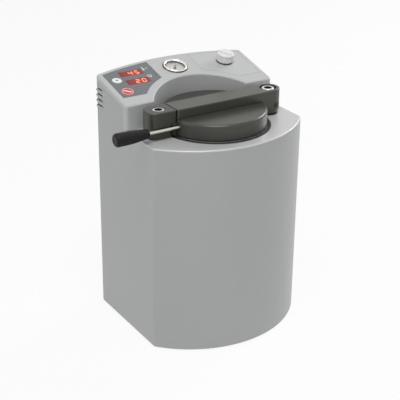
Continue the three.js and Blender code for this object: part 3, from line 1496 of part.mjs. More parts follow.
// Sloped panel
addPart(panelGroup, "control_membrane", makeMembrane(), MEMBRANE_GREY);
addPart(panelGroup, "right_fascia", makeRightFascia(), CONSOLE_GREY);
addPart(panelGroup, "display_board", makeDisplayBoard(), BOARD_GREEN);
addPart(panelGroup, "upper_display", makeDisplay(DISPLAY_Y[0]), DISPLAY_RED);
addPart(panelGroup, "lower_display", makeDisplay(DISPLAY_Y[1]), DISPLAY_RED);
addPart(panelGroup, "start_button", makeKey(START_KEY, START_KEY_RADIUS), WHITE_PLASTIC);
addPart(panelGroup, "stop_button", makeKey(STOP_KEY, STOP_KEY_RADIUS), RED_PLASTIC);
addPart(panelGroup, "gauge_case", makeGaugeCase(), BLACK_PLASTIC);
addPart(panelGroup, "gauge_bezel", makeGaugeBezel(), CHROME);
addPart(panelGroup, "gauge_dial", makeGaugeDial(), DIAL_WHITE);
addPart(panelGroup, "gauge_needle", makeGaugeNeedle(), BLACK_PLASTIC);
addPart(panelGroup, "gauge_glass", makeGaugeGlass(), GLASS);
addPart(panelGroup, "regulator_body", makeRegulatorBody(), ALUMINIUM);
addPart(panelGroup, "knob_ring", makeKnobRing(), BLACK_PLASTIC);
addPart(panelGroup, "regulator_knob", makeRegulatorKnob(), WHITE_PLASTIC);

// Chamber
addPart(assembly, "pressure_vessel", makePressureVessel(), ALUMINIUM);
addPart(assembly, "lid_seal", makeLidSeal(), RUBBER);
addPart(assembly, "opening_trim", makeOpeningTrim(), RUBBER);
addPart(assembly, "yoke_plate", makeYokePlate(), STEEL);
addPart(assembly, "heater_band", makeHeaterBand(), STEEL);
addPart(assembly, "insulation_jacket", makeInsulationJacket(), FOAM);
addPart(assembly, "vessel_stand", makeVesselStand(), GALVANISED);
addPart(assembly, "temperature_sensor", makeTemperatureSensor(), STEEL);

// Catch and pivot
const boltTop = DECK_TOP + ARM_TOP - BOLT_SUNK;
const catchBolt = socketBolt(-PIVOT_X, BOLT_HEAD_RADIUS, BOLT_RADIUS, DECK_TOP, boltTop);
const pivotBolt = socketBolt(PIVOT_X, PIVOT_HEAD_RADIUS, PIVOT_SHOULDER_RADIUS, DECK_TOP + FIT, boltTop);
addPart(assembly, "catch_block", makeCatchBlock(), HARD_COAT);
addPart(assembly, "catch_bolt", catchBolt, STEEL);
addPart(assembly, "catch_nut", makeNut(-PIVOT_X), STEEL);
addPart(assembly, "pivot_bolt", pivotBolt, STEEL);
addPart(assembly, "pivot_nut", makeNut(PIVOT_X), STEEL);
addPart(assembly, "pivot_washer", makePivotWasher(), BLACK_PLASTIC);
addPart(assembly, "pivot_bush", makePivotBush(), BRASS);

// Lid, arm and lever
addPart(assembly, "lid_arm", makeLidArm(), HARD_COAT);
addPart(assembly, "chamber_lid", makeChamberLid(), HARD_COAT);
addPart(assembly, "lid_screw_left", makeLidScrew(-1), STEEL);
addPart(assembly, "lid_screw_right", makeLidScrew(1), STEEL);
addPart(assembly, "lever_rod", makeLeverRod(), STEEL);
addPart(assembly, "lever_grip", makeLeverGrip(), BLACK_PLASTIC);

// Rear
["rear_screw_lower_left", "rear_screw_upper_left", "rear_screw_lower_right", "rear_screw_upper_right"]
  .forEach((name, i) => addOnRear(name, makeRearScrew(), STEEL, ...rearScrewPlaces[i]));
addOnRear("mains_inlet", makeMainsInlet(), BLACK_PLASTIC, 0, MAINS_Z);
addOnRear("switch_frame", makeSwitchFrame(), BLACK_PLASTIC, SWITCH_X, SWITCH_Z);
addOnRear("power_switch", makeRocker(), BLACK_PLASTIC, SWITCH_X, SWITCH_Z);
addOnRear("air_inlet_nipple", makeAirNipple(), BRASS, NIPPLE_X, NIPPLE_Z);
addOnRear("exhaust_silencer", makeSilencer(), BRASS, SILENCER_X, SILENCER_Z);

// Inside
addPart(assembly, "inlet_valve", makeValve(1), BRASS);
addPart(assembly, "exhaust_valve", makeValve(-1), BRASS);
addPart(assembly, "safety_valve", makeSafetyValve(), BRASS);
addPart(assembly, "transformer", makeTransformer(), GALVANISED);
addPart(assembly, "control_board", makeControlBoard(), BOARD_GREEN);
addPart(assembly, "supply_tube", makeSupplyTube(), TUBE_BLUE);

// The origin is the middle of the whole outline, at bench level.
const extent = new THREE.Box3().setFromObject(assembly);
const middle = extent.getCenter(new THREE.Vector3());
assembly.position.set(-middle.x, -middle.y, -extent.min.z);

const curingUnit = new THREE.Group();
curingUnit.add(assembly);

export default curingUnit;
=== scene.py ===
"""Looks of a benchtop pressure curing unit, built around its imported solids.

Sizes are millimetres in the assembly's own frame: x = y = 0 on the chamber's axis,
z = 0 on the bench, the front towards -y. row() carries them to the part's frame in metres.
"""
from __future__ import annotations

import json
import logging
import math
from collections.abc import Callable
from dataclasses import dataclass, field
from enum import Enum

import bmesh
import bpy
import numpy as np
from mathutils import Matrix
from mathutils.geometry import delaunay_2d_cdt

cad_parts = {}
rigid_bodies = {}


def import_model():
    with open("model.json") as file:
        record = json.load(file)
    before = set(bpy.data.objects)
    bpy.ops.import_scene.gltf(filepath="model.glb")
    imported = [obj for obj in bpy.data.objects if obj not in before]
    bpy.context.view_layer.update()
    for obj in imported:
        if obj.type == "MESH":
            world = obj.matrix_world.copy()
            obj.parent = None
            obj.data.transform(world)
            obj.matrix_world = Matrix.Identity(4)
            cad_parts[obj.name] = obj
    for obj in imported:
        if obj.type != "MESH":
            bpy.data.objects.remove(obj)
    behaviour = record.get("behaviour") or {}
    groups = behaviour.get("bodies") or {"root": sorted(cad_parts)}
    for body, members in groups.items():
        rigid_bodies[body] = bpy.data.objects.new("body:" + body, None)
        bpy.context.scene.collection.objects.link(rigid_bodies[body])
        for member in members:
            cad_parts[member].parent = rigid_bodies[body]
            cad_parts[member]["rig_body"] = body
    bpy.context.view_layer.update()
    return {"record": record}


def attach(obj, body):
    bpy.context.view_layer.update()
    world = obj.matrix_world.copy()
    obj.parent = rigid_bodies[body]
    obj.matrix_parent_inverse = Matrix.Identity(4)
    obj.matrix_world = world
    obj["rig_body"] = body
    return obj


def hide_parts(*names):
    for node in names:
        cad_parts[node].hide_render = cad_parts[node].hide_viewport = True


LOG = logging.getLogger("curing_unit")
Array = np.ndarray
Place = Callable[[Array], Array]
MM = 0.001
ORIGIN = np.array([25.0, -32.3906, 0.0])
SLOPE = math.radians(13.66)
DECK = 330.0
CONSOLE_FRONT_Y = 36.8
CONSOLE_FRONT_Z = DECK + 38.2
HALF_WIDTH = 130.0
REAR_CORNER_Y = 130.0
FRONT_RADIUS = 170.465
FRONT_CENTRE_Y = 68.465
REAR_RADIUS = 488.914
REAR_CENTRE_Y = -341.314
PIVOT_X = 96.3
KNOB_XY = (85.0, 104.0)
GAUGE_Y = 114.0
QUARTER, HALF_TURN, THREE_QUARTERS = math.pi / 2, math.pi, 1.5 * math.pi


# Plan paths, profiles and places

def row(points: Array) -> Array:
    """Assembly millimetres as metres in the part's frame."""
    return (np.asarray(points, float) + ORIGIN) * MM


def arc(x: float, y: float, radius: float, start: float, end: float, count: int) -> Array:
    """Points on a circle's arc, ends included: centre + radius * (cos, sin) of even angles."""
    angle = np.linspace(start, end, count)
    return np.stack([x + radius * np.cos(angle), y + radius * np.sin(angle)], 1)


def circle(x: float, y: float, radius: float, count: int = 48) -> Array:
    """A closed circle, anticlockwise, without its repeated last point."""
    return arc(x, y, radius, 0.0, math.tau, count + 1)[:-1]


def box_path(x: float, y: float, width: float, depth: float) -> Array:
    """A rectangle about a centre, anticlockwise."""
    half = np.array([[-1, -1], [1, -1], [1, 1], [-1, 1]]) * 0.5
    return np.array([x, y]) + half * np.array([width, depth])


def spun(path: Array, degrees: float) -> Array:
    """A plan path turned anticlockwise about its origin: x' = x cos - y sin, y' = x sin + y cos."""
    cos, sin = math.cos(math.radians(degrees)), math.sin(math.radians(degrees))
    return path @ np.array([[cos, sin], [-sin, cos]])


def eased(path: Array, reach: float, closed: bool = True, steps: int = 6,
          least: float = 0.3) -> Array:
    """Rounds a path's corners.

    A corner C becomes the quadratic curve (1-t)^2 A + 2t(1-t) C + t^2 B, where A and B lie
    up to the reach before and after it on its two legs.

    Args:
        path: Points of the path, in two or three dimensions.
        reach: Distance from the corner to the start of its curve.
        closed: Whether the last point joins the first.
        steps: Points on each curve.
        least: Smallest turn, in radians, that counts as a corner.

    Returns:
        The path with its corners replaced.
    """
    back = np.roll(path, 1, 0) - path
    ahead = np.roll(path, -1, 0) - path
    long_back = np.linalg.norm(back, axis=1, keepdims=True)
    long_ahead = np.linalg.norm(ahead, axis=1, keepdims=True)
    back /= np.maximum(long_back, 1e-9)
    ahead /= np.maximum(long_ahead, 1e-9)
    turn = np.arccos(np.clip(-(back * ahead).sum(1), -1.0, 1.0))
    corner = turn > least
    if not closed:
        corner[[0, -1]] = False
    hold = corner[:, None]
    start = path + back * np.minimum(reach, 0.49 * long_back) * hold
    end = path + ahead * np.minimum(reach, 0.49 * long_ahead) * hold
    t = np.linspace(0.0, 1.0, steps)[None, :, None]
    curve = (1 - t) ** 2 * start[:, None] + 2 * t * (1 - t) * path[:, None] + t ** 2 * end[:, None]
    keep = corner[:, None] | (np.arange(steps) == 0)[None]
    return curve[keep]


def open_eased(pairs: list | tuple, reach: float) -> Array:
    """(radius, height) pairs as a path with its inner corners rounded and its ends left."""
    return eased(np.array(pairs, float), reach, closed=False)


def inset(path: Array, distance: float | Array) -> Array:
    """Moves a closed anticlockwise plan path inwards along the mitre of its two edges.

    Args:
        path: Plan points.
        distance: How far, one number or one for each point; negative moves it out.

    Returns:
        The moved path, point for point.
    """
    before = path - np.roll(path, 1, 0)
    after = np.roll(path, -1, 0) - path
    before /= np.linalg.norm(before, axis=1, keepdims=True)
    after /= np.linalg.norm(after, axis=1, keepdims=True)
    first = np.stack([-before[:, 1], before[:, 0]], 1)
    second = np.stack([-after[:, 1], after[:, 0]], 1)
    mitre = (first + second) / (1.0 + (first * second).sum(1, keepdims=True))
    return path + mitre * np.reshape(distance, (-1, 1))


def quarter(radius: float, steps: int = 6) -> Array:
    """Inset and drop of a quarter round, from the flat face (radius, 0) to the side (0, radius)."""
    angle = np.linspace(0.0, QUARTER, steps)
    return radius * np.stack([1 - np.sin(angle), 1 - np.cos(angle)], 1)


def front_bow() -> Array:
    """Plan of the bowed front from the left corner to the right one."""
    spread = math.asin(HALF_WIDTH / FRONT_RADIUS)
    return arc(0, FRONT_CENTRE_Y, FRONT_RADIUS, -QUARTER - spread, -QUARTER + spread, 49)


def rear_bow(x: Array, inwards: float = 0.0) -> Array:
    """Plan points of the bowed rear at given x: y = centre + sqrt(radius^2 - x^2)."""
    return np.stack([x, REAR_CENTRE_Y + np.sqrt((REAR_RADIUS - inwards) ** 2 - x ** 2)], 1)


def slope_z(y: Array | float) -> Array | float:
    """Height of the console's sloped top over plan position y."""
    return CONSOLE_FRONT_Z + (y - CONSOLE_FRONT_Y) * math.tan(SLOPE)


def up_slope(y: Array | float) -> Array | float:
    """Distance up the slope for plan position y."""
    return (y - CONSOLE_FRONT_Y) / math.cos(SLOPE)


def on_panel(points: Array) -> Array:
    """Carries panel coordinates to the assembly's.

    Args:
        points: Across, up the slope and square to it.

    Returns:
        The points as x, y and z.
    """
    x, up, lift = np.moveaxis(np.asarray(points, float), -1, 0)
    y = CONSOLE_FRONT_Y + up * math.cos(SLOPE) - lift * math.sin(SLOPE)
    z = CONSOLE_FRONT_Z + up * math.sin(SLOPE) + lift * math.cos(SLOPE)
    return np.stack([x, y, z], -1)


def panel_at(x: float, y: float, lift: float = 0.0) -> Place:
    """A place on the panel over a plan position, its third axis square to the panel."""
    base = np.array([x, up_slope(y), lift])
    return lambda points: on_panel(np.asarray(points, float) + base)


def on_rear(x: float, z: float) -> Place:
    """A place on the bowed rear panel.

    Args:
        x: Position across, from the middle.
        z: Height over the bench.

    Returns:
        The carrier of points whose second axis is up and whose third leaves the panel.
    """
    angle = math.asin(x / REAR_RADIUS)
    out = np.array([math.sin(angle), math.cos(angle), 0.0])
    across = np.array([-out[1], out[0], 0.0])
    base = np.array([REAR_RADIUS * out[0], REAR_CENTRE_Y + REAR_RADIUS * out[1], z])
    axes = np.stack([across, np.array([0.0, 0.0, 1.0]), out])
    return lambda points: base + np.asarray(points, float) @ axes


def upright(points: Array) -> Array:
    """Assembly coordinates as they are."""
    return np.asarray(points, float)


def raised(path: Array, height: float | Array) -> Array:
    """A plan path at a height, as points in space."""
    tall = np.broadcast_to(np.reshape(height, (-1, 1)), (len(path), 1))
    return np.concatenate([path, tall], 1)


def round_rings(radius: Array, height: Array, angle: Array) -> Array:
    """Rings about the third axis: (radius cos, radius sin, height), ring by ring."""
    return np.stack([radius * np.cos(angle), radius * np.sin(angle), height + 0 * angle], -1)


def within(points: Array, path: Array) -> Array:
    """Even-odd test: does a ray towards +x cross the closed path an odd number of times.

    Args:
        points: Plan points to test.
        path: The closed path.

    Returns:
        True for each point inside.
    """
    first, second = path[None], np.roll(path, -1, 0)[None]
    y = points[:, None, 1]
    spans = (first[..., 1] > y) != (second[..., 1] > y)
    rise = second[..., 1] - first[..., 1]
    share = (y - first[..., 1]) / np.where(rise == 0, 1.0, rise)
    crossing = first[..., 0] + share * (second[..., 0] - first[..., 0])
    return (spans & (points[:, None, 0] < crossing)).sum(1) % 2 == 1


# Meshes and pieces

def linked(name: str, data: bpy.types.ID) -> bpy.types.Object:
    """A new object in the scene, at the origin.

    Args:
        name: The object's name.
        data: Its mesh, curve, camera or lamp.

    Returns:
        The object.
    """
    made = bpy.data.objects.new(name, data)
    bpy.context.scene.collection.objects.link(made)
    return made


def read(items: bpy.types.bpy_prop_collection, key: str) -> Array:
    """One three-part value of every vertex or face.

    Args:
        items: The vertices or faces.
        key: The value's name.

    Returns:
        The values as rows.
    """
    values = np.empty(3 * len(items))
    items.foreach_get(key, values)
    return values.reshape(-1, 3)


@dataclass
class Surface:
    """Rings and fills that become one mesh."""

    points: list[Array] = field(default_factory=list)
    faces: list[list[int]] = field(default_factory=list)
    count: int = 0

    def take(self, points: Array) -> int:
        """Adds points.

        Args:
            points: Any array whose last axis is x, y and z.

        Returns:
            The index of the first.
        """
        first = self.count
        self.points.append(np.reshape(points, (-1, 3)))
        self.count += len(self.points[-1])
        return first

    def band(self, rings: Array, closed: bool = True, loop: bool = False,
             keep: Array | None = None) -> Surface:
        """Joins rings of equal length with quadrilaterals.

        Args:
            rings: Points, ring by ring.
            closed: Whether each ring's last point joins its first.
            loop: Whether the last ring joins the first.
            keep: Which cells are drawn, ring by ring.

        Returns:
            This surface.
        """
        rows, columns = rings.shape[:2]
        first = self.take(rings)
        i = np.arange(rows if loop else rows - 1)[:, None]
        j = np.arange(columns if closed else columns - 1)[None]
        below, above = i * columns, (i + 1) % rows * columns
        beside = (j + 1) % columns
        cells = first + np.stack([below + j, below + beside, above + beside, above + j], -1)
        self.faces += (cells if keep is None else cells[keep]).reshape(-1, 4).tolist()
        return self

    def fill(self, outline: Array, holes: list[Array]) -> Surface:
        """Fills an outline: a constrained Delaunay net in plan, kept inside it and off its holes.

        Args:
            outline: Closed path in space.
            holes: Closed paths in space.

        Returns:
            This surface.
        """
        rings = [outline, *holes]
        flat = np.concatenate(rings)
        first = self.take(flat)
        ends = np.cumsum([len(ring) for ring in rings])
        spans = [np.arange(end - len(ring), end) for ring, end in zip(rings, ends)]
        edges = np.concatenate([np.stack([span, np.roll(span, -1)], 1) for span in spans])
        flat_points = [tuple(p) for p in flat[:, :2].tolist()]
        net = delaunay_2d_cdt(flat_points, edges.tolist(), [], 0, 1e-5)
        place = np.array([ids[0] for ids in net[3]])
        corners = place[np.array(net[2])]
        middle = flat[corners, :2].mean(1)
        kept = within(middle, outline[:, :2])
        for hole in holes:
            kept &= ~within(middle, hole[:, :2])
        self.faces += (first + corners[kept]).tolist()
        return self

    def slab(self, outline: Array, low: float, high: float, *, holes: tuple[Array, ...] = (),
             edge: float = 0.0, hole_edge: float = 0.0, lift: Place = upright) -> Surface:
        """A closed plate: its outline's profile carried round it, and holes through it.

        Args:
            outline: Plan path, anticlockwise.
            low: Height of the lower face.
            high: Height of the upper face.
            holes: Plan paths of the holes.
            edge: Radius of the upper edge.
            hole_edge: Radius of the holes' upper edges.
            lift: Carries the finished points to their place.

        Returns:
            This surface.
        """
        tops, bottoms = [], []
        for number, path in enumerate((outline, *holes)):
            upper, sign = (edge, 1) if number == 0 else (hole_edge, -1)
            rounds = quarter(upper)[::-1] if upper else [(0.0, 0.0)]
            profile = [(0.0, low), *[(sign * i, high - d) for i, d in rounds]]
            rings = lift(np.stack([raised(inset(path, i) if i else path, z) for i, z in profile]))
            self.band(rings)
            tops.append(rings[-1])
            bottoms.append(rings[0])
        self.fill(tops[0], tops[1:])
        return self.fill(bottoms[0], bottoms[1:])

    def turned(self, profile: Array | list, place: Place = upright, count: int = 72,
               loop: bool = False) -> Surface:
        """A profile of (radius, height) pairs carried round the third axis.

        Args:
            profile: The pairs, from one end to the other.
            place: Carries the finished points to their place.
            count: Points round the axis.
            loop: Whether the profile closes on itself.

        Returns:
            This surface.
        """
        angle = np.linspace(0, math.tau, count, endpoint=False)
        radius, height = np.asarray(profile, float).T[..., None]
        return self.band(place(round_rings(radius, height, angle)), loop=loop)

    def piece(self, name: str, material: bpy.types.Material, *, thickness: float = 0.0,
              sheet: bool = False, angle: float = 34.0,
              shade: Array | None = None) -> bpy.types.Object:
        """Makes the object.

        Args:
            name: The piece's name.
            material: Its finish.
            thickness: Wall grown inwards, in millimetres.
            sheet: Whether the surface is open; its faces are then turned from its middle.
            angle: Edges sharper than this many degrees stay crisp.
            shade: One value for each point, kept as the attribute "heart".

        Returns:
            The object, at the origin.
        """
        mesh = bpy.data.meshes.new(name)
        mesh.from_pydata(row(np.concatenate(self.points)).tolist(), [], self.faces)
        if shade is not None:
            heart = mesh.attributes.new("heart", "FLOAT", "POINT")
            heart.data.foreach_set("value", shade.astype(np.float32))
        else:
            cleaned(mesh, recalculate=not sheet)
        if sheet:
            centre = read(mesh.polygons, "center")
            if (read(mesh.polygons, "normal") * (centre - centre.mean(0))).sum() < 0:
                mesh.flip_normals()
        made = linked(name, mesh)
        mesh.materials.append(material)
        if thickness:
            wall = made.modifiers.new("wall", "SOLIDIFY")
            wall.thickness = thickness * MM
            wall.offset = -1.0
            wall.use_even_offset = True
        smoothed(made, angle)
        return made


def cleaned(mesh: bpy.types.Mesh, recalculate: bool) -> None:
    """Merges doubles and drops empty faces.

    Args:
        mesh: The mesh, changed in place.
        recalculate: Whether the surface is closed, so that its faces can be turned outwards.
    """
    join = 2e-6
    work = bmesh.new()
    work.from_mesh(mesh)
    bmesh.ops.remove_doubles(work, verts=work.verts, dist=join)
    bmesh.ops.dissolve_degenerate(work, edges=work.edges, dist=join / 2)
    if recalculate:
        bmesh.ops.recalc_face_normals(work, faces=work.faces)
    work.to_mesh(mesh)
    work.free()


def smoothed(made: bpy.types.Object, angle: float) -> None:
    """Smooth faces with crisp edges, and flat faces kept flat by area-weighted normals.

    Args:
        made: The piece.
        angle: Edges sharper than this many degrees stay crisp.
    """
    made.data.polygons.foreach_set("use_smooth", np.ones(len(made.data.polygons), bool))
    made.data.set_sharp_from_angle(angle=math.radians(angle))
    weighted = made.modifiers.new("flat_faces", "WEIGHTED_NORMAL")
    weighted.keep_sharp = True
    weighted.weight = 60


def recast(name: str, material: bpy.types.Material, soft: float = 0.0,
           angle: float = 34.0) -> None:
    """Dresses a node with a merged copy of its solid, which rides and stands for it.

    Args:
        name: The solid's node.
        material: Its finish.
        soft: Edge softening, in millimetres.
        angle: Edges sharper than this many degrees stay crisp.
    """
    source = bpy.data.objects[name]
    mesh = source.data.copy()
    mesh.materials.clear()
    work = bmesh.new()
    work.from_mesh(mesh)
    bmesh.ops.remove_doubles(work, verts=work.verts, dist=4e-6)
    bmesh.ops.dissolve_limit(work, angle_limit=math.radians(0.4), verts=work.verts,
                             edges=work.edges)
    work.to_mesh(mesh)
    work.free()
    made = linked(f"{name}_dressed", mesh)
    mesh.materials.append(material)
    if soft:
        ease = made.modifiers.new("soft_edges", "BEVEL")
        ease.width = soft * MM
        ease.segments = 2
        ease.limit_method = "ANGLE"
        ease.angle_limit = math.radians(38)
        ease.use_clamp_overlap = True
    smoothed(made, angle)
    settle(made, source["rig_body"], (name,))


def settle(made: bpy.types.Object, body: str, nodes: tuple[str, ...] = (), slot: str = "") -> None:
    """Gives a piece its body, hides the nodes that it stands for, and logs it.

    Args:
        made: The piece.
        body: The body that it rides on.
        nodes: The nodes that it replaces; the slot is then the first one's.
        slot: The material slot, where it replaces none; not used.
    """
    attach(made, body)
    if nodes:
        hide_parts(*nodes)
        slot = slot or SLOTS[nodes[0]]
    LOG.info("piece %s on %s", made.name, body)


# Material slot of every node, filled from the frame's record by main()
SLOTS: dict[str, str] = {}


# Finishes

def linear(hex_colour: str, factor: float = 1.0) -> tuple[float, float, float, float]:
    """Turns an sRGB hex colour into linear light.

    Args:
        hex_colour: The colour, such as #a9abaa.
        factor: Makes it darker or lighter; no part passes 1.

    Returns:
        Red, green, blue and 1.
    """
    value = np.array([int(hex_colour[i:i + 2], 16) for i in (1, 3, 5)]) / 255
    straight = np.where(value <= 0.04045, value / 12.92, ((value + 0.055) / 1.055) ** 2.4)
    return (*np.minimum(1.0, straight * factor).tolist(), 1.0)


def per_mm(size: float) -> float:
    """Texture scale that repeats about once in a size in millimetres."""
    return 1000.0 / size


def add(tree: bpy.types.NodeTree, kind: str, inputs: dict | None = None,
        **settings: object) -> bpy.types.Node:
    """Adds a node with its settings and links.

    Args:
        tree: The material's or world's tree.
        kind: The node's type, without its ShaderNode.
        inputs: Values or outputs by input name or number; a node stands for its first output.
        settings: The node's own properties.

    Returns:
        The node.
    """
    made = tree.nodes.new(f"ShaderNode{kind}")
    for name, value in settings.items():
        setattr(made, name, value)
    for name, value in (inputs or {}).items():
        if isinstance(value, bpy.types.Node):
            value = value.outputs[0]
        if isinstance(value, bpy.types.NodeSocket):
            tree.links.new(value, made.inputs[name])
        else:
            made.inputs[name].default_value = value
    return made


@dataclass
class Shading:
    """A material in the making: its tree, its shader and the steps that the finishes share."""

    tree: bpy.types.NodeTree
    shader: bpy.types.Node
    colour: str
    roughness: float
    place: bpy.types.NodeSocket | None = None

    def __post_init__(self) -> None:
        """Takes the object coordinates, which every pattern is drawn on."""
        self.place = self.add("TexCoord").outputs["Object"]

    def add(self, kind: str, inputs: dict | None = None, **settings: object) -> bpy.types.Node:
        """Adds a node to this material: see the function of that name."""
        return add(self.tree, kind, inputs, **settings)

    def noise(self, size_mm: float, detail: float = 2.0,
              vector: bpy.types.Node | None = None) -> bpy.types.Node:
        """Cloudy noise of a size in millimetres, on the object or on another vector."""
        return self.add("TexNoise", {"Vector": vector or self.place, "Scale": per_mm(size_mm),
                                     "Detail": detail})

    def fix(self, **values: float | tuple) -> None:
        """Sets the shader's own sockets, named with _ for a space."""
        for name, value in values.items():
            self.shader.inputs[name.replace("_", " ")].default_value = value

    def feed(self, name: str, output: bpy.types.NodeSocket) -> None:
        """Links an output to a socket of the shader."""
        self.tree.links.new(output, self.shader.inputs[name])

    def ranged(self, fac: bpy.types.Node, low: float, high: float) -> bpy.types.Node:
        """A pattern stretched from 0 and 1 to a low and a high value."""
        return self.add("MapRange", {"Value": fac, "To Min": low, "To Max": high})

    def mixed(self, fac: bpy.types.Node, dark: tuple, light: tuple) -> bpy.types.NodeSocket:
        """A colour between two, by a pattern."""
        return self.add("Mix", {0: fac, 6: dark, 7: light}, data_type="RGBA").outputs[2]

    def vary(self, fac: bpy.types.Node, spread: float, rough: float) -> None:
        """Carries a pattern into the colour and the roughness.

        Args:
            fac: The pattern.
            spread: Share by which the colour gets darker and lighter.
            rough: How far the roughness moves both ways.
        """
        self.feed("Base Color", self.mixed(fac, linear(self.colour, 1 - spread),
                                           linear(self.colour, 1 + spread)))
        stretched = self.ranged(fac, self.roughness - rough, self.roughness + rough)
        self.feed("Roughness", stretched.outputs[0])

    def bump(self, height: bpy.types.Node, strength: float, depth_mm: float) -> None:
        """Raises a pattern by a depth in millimetres."""
        raised_by = {"Height": height, "Strength": strength, "Distance": depth_mm * MM}
        self.feed("Normal", self.add("Bump", raised_by).outputs[0])


@dataclass(frozen=True)
class Finish:
    """What every finish has: a name, a colour and how it takes the light."""

    name: str
    colour: str
    roughness: float = 0.5
    metallic: float = 0.0
    ior: float = 1.5

    def material(self) -> bpy.types.Material:
        """Makes the finish: its plain values, then its own pattern; a metal keeps its own IOR.

        Returns:
            The material.
        """
        made = bpy.data.materials.new(self.name)
        made.use_nodes = True
        shader = made.node_tree.nodes["Principled BSDF"]
        look = Shading(made.node_tree, shader, self.colour, self.roughness)
        look.fix(Base_Color=linear(self.colour), Roughness=self.roughness, Metallic=self.metallic)
        if self.metallic < 0.5:
            look.fix(IOR=self.ior)
        made.diffuse_color = linear(self.colour)
        self.pattern(look)
        return made

    def pattern(self, look: Shading) -> None:
        """Draws the finish's own pattern; each finish has another."""
        raise NotImplementedError(self.name)


@dataclass(frozen=True)
class PowderCoat(Finish):
    """Powder-coated steel: satin, with a faint orange peel and fine metallic flecks.

    The real flecks are about 0.1 mm; they are drawn at 0.7 mm so that they show.
    """

    peel_mm: float = 3.0
    fleck_mm: float = 0.7
    fleck: float = 0.035

    def pattern(self, look: Shading) -> None:
        """Flecks in the colour, orange peel in the surface."""
        look.vary(look.noise(self.fleck_mm), self.fleck, 0.05)
        look.bump(look.noise(self.peel_mm, 1.0), 0.35, 0.03)


@dataclass(frozen=True)
class Moulded(Finish):
    """Moulded ABS or nylon: an even colour under a fine eroded grain, glossier on its high points.

    The real grain is about 0.1 mm; it is drawn at 0.5 mm or more so that it shows.
    """

    grain_mm: float = 0.5
    depth_mm: float = 0.03
    spread: float = 0.02

    def pattern(self, look: Shading) -> None:
        """One grain in the colour, the gloss and the surface.

        Args:
            look: The material being made.
        """
        grain = look.noise(self.grain_mm, 3.0)
        look.vary(grain, self.spread, 0.06)
        look.bump(grain, 0.5, self.depth_mm)


class Lay(Enum):
    """Which way the tool marks run on a machined face."""

    ALONG_X = (0.02, 1.0, 1.0)
    ALONG_Y = (1.0, 0.02, 1.0)
    ALONG_Z = (1.0, 1.0, 0.02)
    ROUND = (1.0, 1.0, 1.0)


@dataclass(frozen=True)
class MachinedMetal(Finish):
    """Milled, drawn or turned metal, bare or anodised: fine marks and a cloudy sheen.

    The real marks are about 0.1 mm apart; they are drawn as coarse as they need to show.
    """

    lay: Lay = Lay.ALONG_X
    mark_mm: float = 0.6
    depth_mm: float = 0.01
    spread: float = 0.06
    cloud_mm: float = 14.0

    def marks(self, look: Shading) -> bpy.types.Node:
        """Draws the marks: rings round the chamber's axis, or noise stretched along the lay.

        Args:
            look: The material being made.

        Returns:
            The pattern.
        """
        moved = look.add("Mapping", {"Vector": look.place, "Location": tuple(-ORIGIN * MM)})
        if self.lay is not Lay.ROUND:
            drawn = look.add("Mapping", {"Vector": moved, "Scale": self.lay.value})
            return look.noise(self.mark_mm, 2.0, drawn)
        flat = look.add("VectorMath", {0: moved, 1: (1.0, 1.0, 0.0)}, operation="MULTIPLY")
        far = look.add("VectorMath", {0: flat}, operation="LENGTH").outputs["Value"]
        return look.add("TexNoise", {"W": far, "Scale": per_mm(self.mark_mm), "Detail": 2.0},
                        noise_dimensions="1D")

    def pattern(self, look: Shading) -> None:
        """Half marks and half cloud in the colour and the sheen, the marks in the surface.

        Args:
            look: The material being made.
        """
        marks = self.marks(look)
        both = look.add("Math", {0: marks, 1: look.noise(self.cloud_mm)}, operation="ADD")
        half = look.add("Math", {0: both, 1: 0.5}, operation="MULTIPLY")
        look.vary(half, self.spread, 0.07)
        look.bump(marks, 0.4, self.depth_mm)


@dataclass(frozen=True)
class Rubber(Finish):
    """Moulded nitrile rubber: matt black, a little dusty, with a soft unevenness."""

    dust_mm: float = 2.5

    def pattern(self, look: Shading) -> None:
        """Dust in the colour and the surface.

        Args:
            look: The material being made.
        """
        dust = look.noise(self.dust_mm, 4.0)
        look.vary(dust, 0.25, 0.08)
        look.bump(dust, 0.3, 0.04)


@dataclass(frozen=True)
class PrintedFilm(Finish):
    """Printed polyester film: flat ink under a fine velvet hard coat, which dulls it."""

    grain_mm: float = 0.6

    def pattern(self, look: Shading) -> None:
        """The velvet's cells.

        Args:
            look: The material being made.
        """
        cells = look.add("TexVoronoi", {"Vector": look.place, "Scale": per_mm(self.grain_mm)})
        look.vary(cells, 0.03, 0.05)
        look.bump(cells, 0.3, 0.008)


@dataclass(frozen=True)
class DisplayWindow(Finish):
    """Red acrylic filter over lit digits: deep red and glossy, glowing softly round them.

    The glow falls off smoothly with the distance from the digits' middle, which counts for
    less across than up the slope.
    """

    glow: str = "#b3170a"
    middle: tuple[float, float, float] = (0.0, 0.0, 0.0)
    speck_mm: float = 1.1
    squeeze: tuple[float, float, float] = (70.0, 115.0, 115.0)

    def pattern(self, look: Shading) -> None:
        """The glow, a little uneven.

        Args:
            look: The material being made.
        """
        centre = tuple(row(np.array(self.middle)))
        moved = look.add("VectorMath", {0: look.place, 1: centre}, operation="SUBTRACT")
        scaled = look.add("VectorMath", {0: moved, 1: self.squeeze}, operation="MULTIPLY")
        far = look.add("VectorMath", {0: scaled}, operation="LENGTH").outputs["Value"]
        near = look.add("MapRange", {"Value": far, "From Max": 1.35, "To Min": 1.0,
                                     "To Max": 0.12}, interpolation_type="SMOOTHSTEP")
        speck = look.noise(self.speck_mm)
        uneven = look.ranged(speck, 0.8, 1.2)
        level = look.add("Math", {0: near, 1: uneven}, operation="MULTIPLY")
        look.feed("Emission Color", look.mixed(level, (0.0, 0.0, 0.0, 1.0), linear(self.glow)))
        look.fix(Emission_Strength=1.0)
        look.vary(speck, 0.1, 0.03)


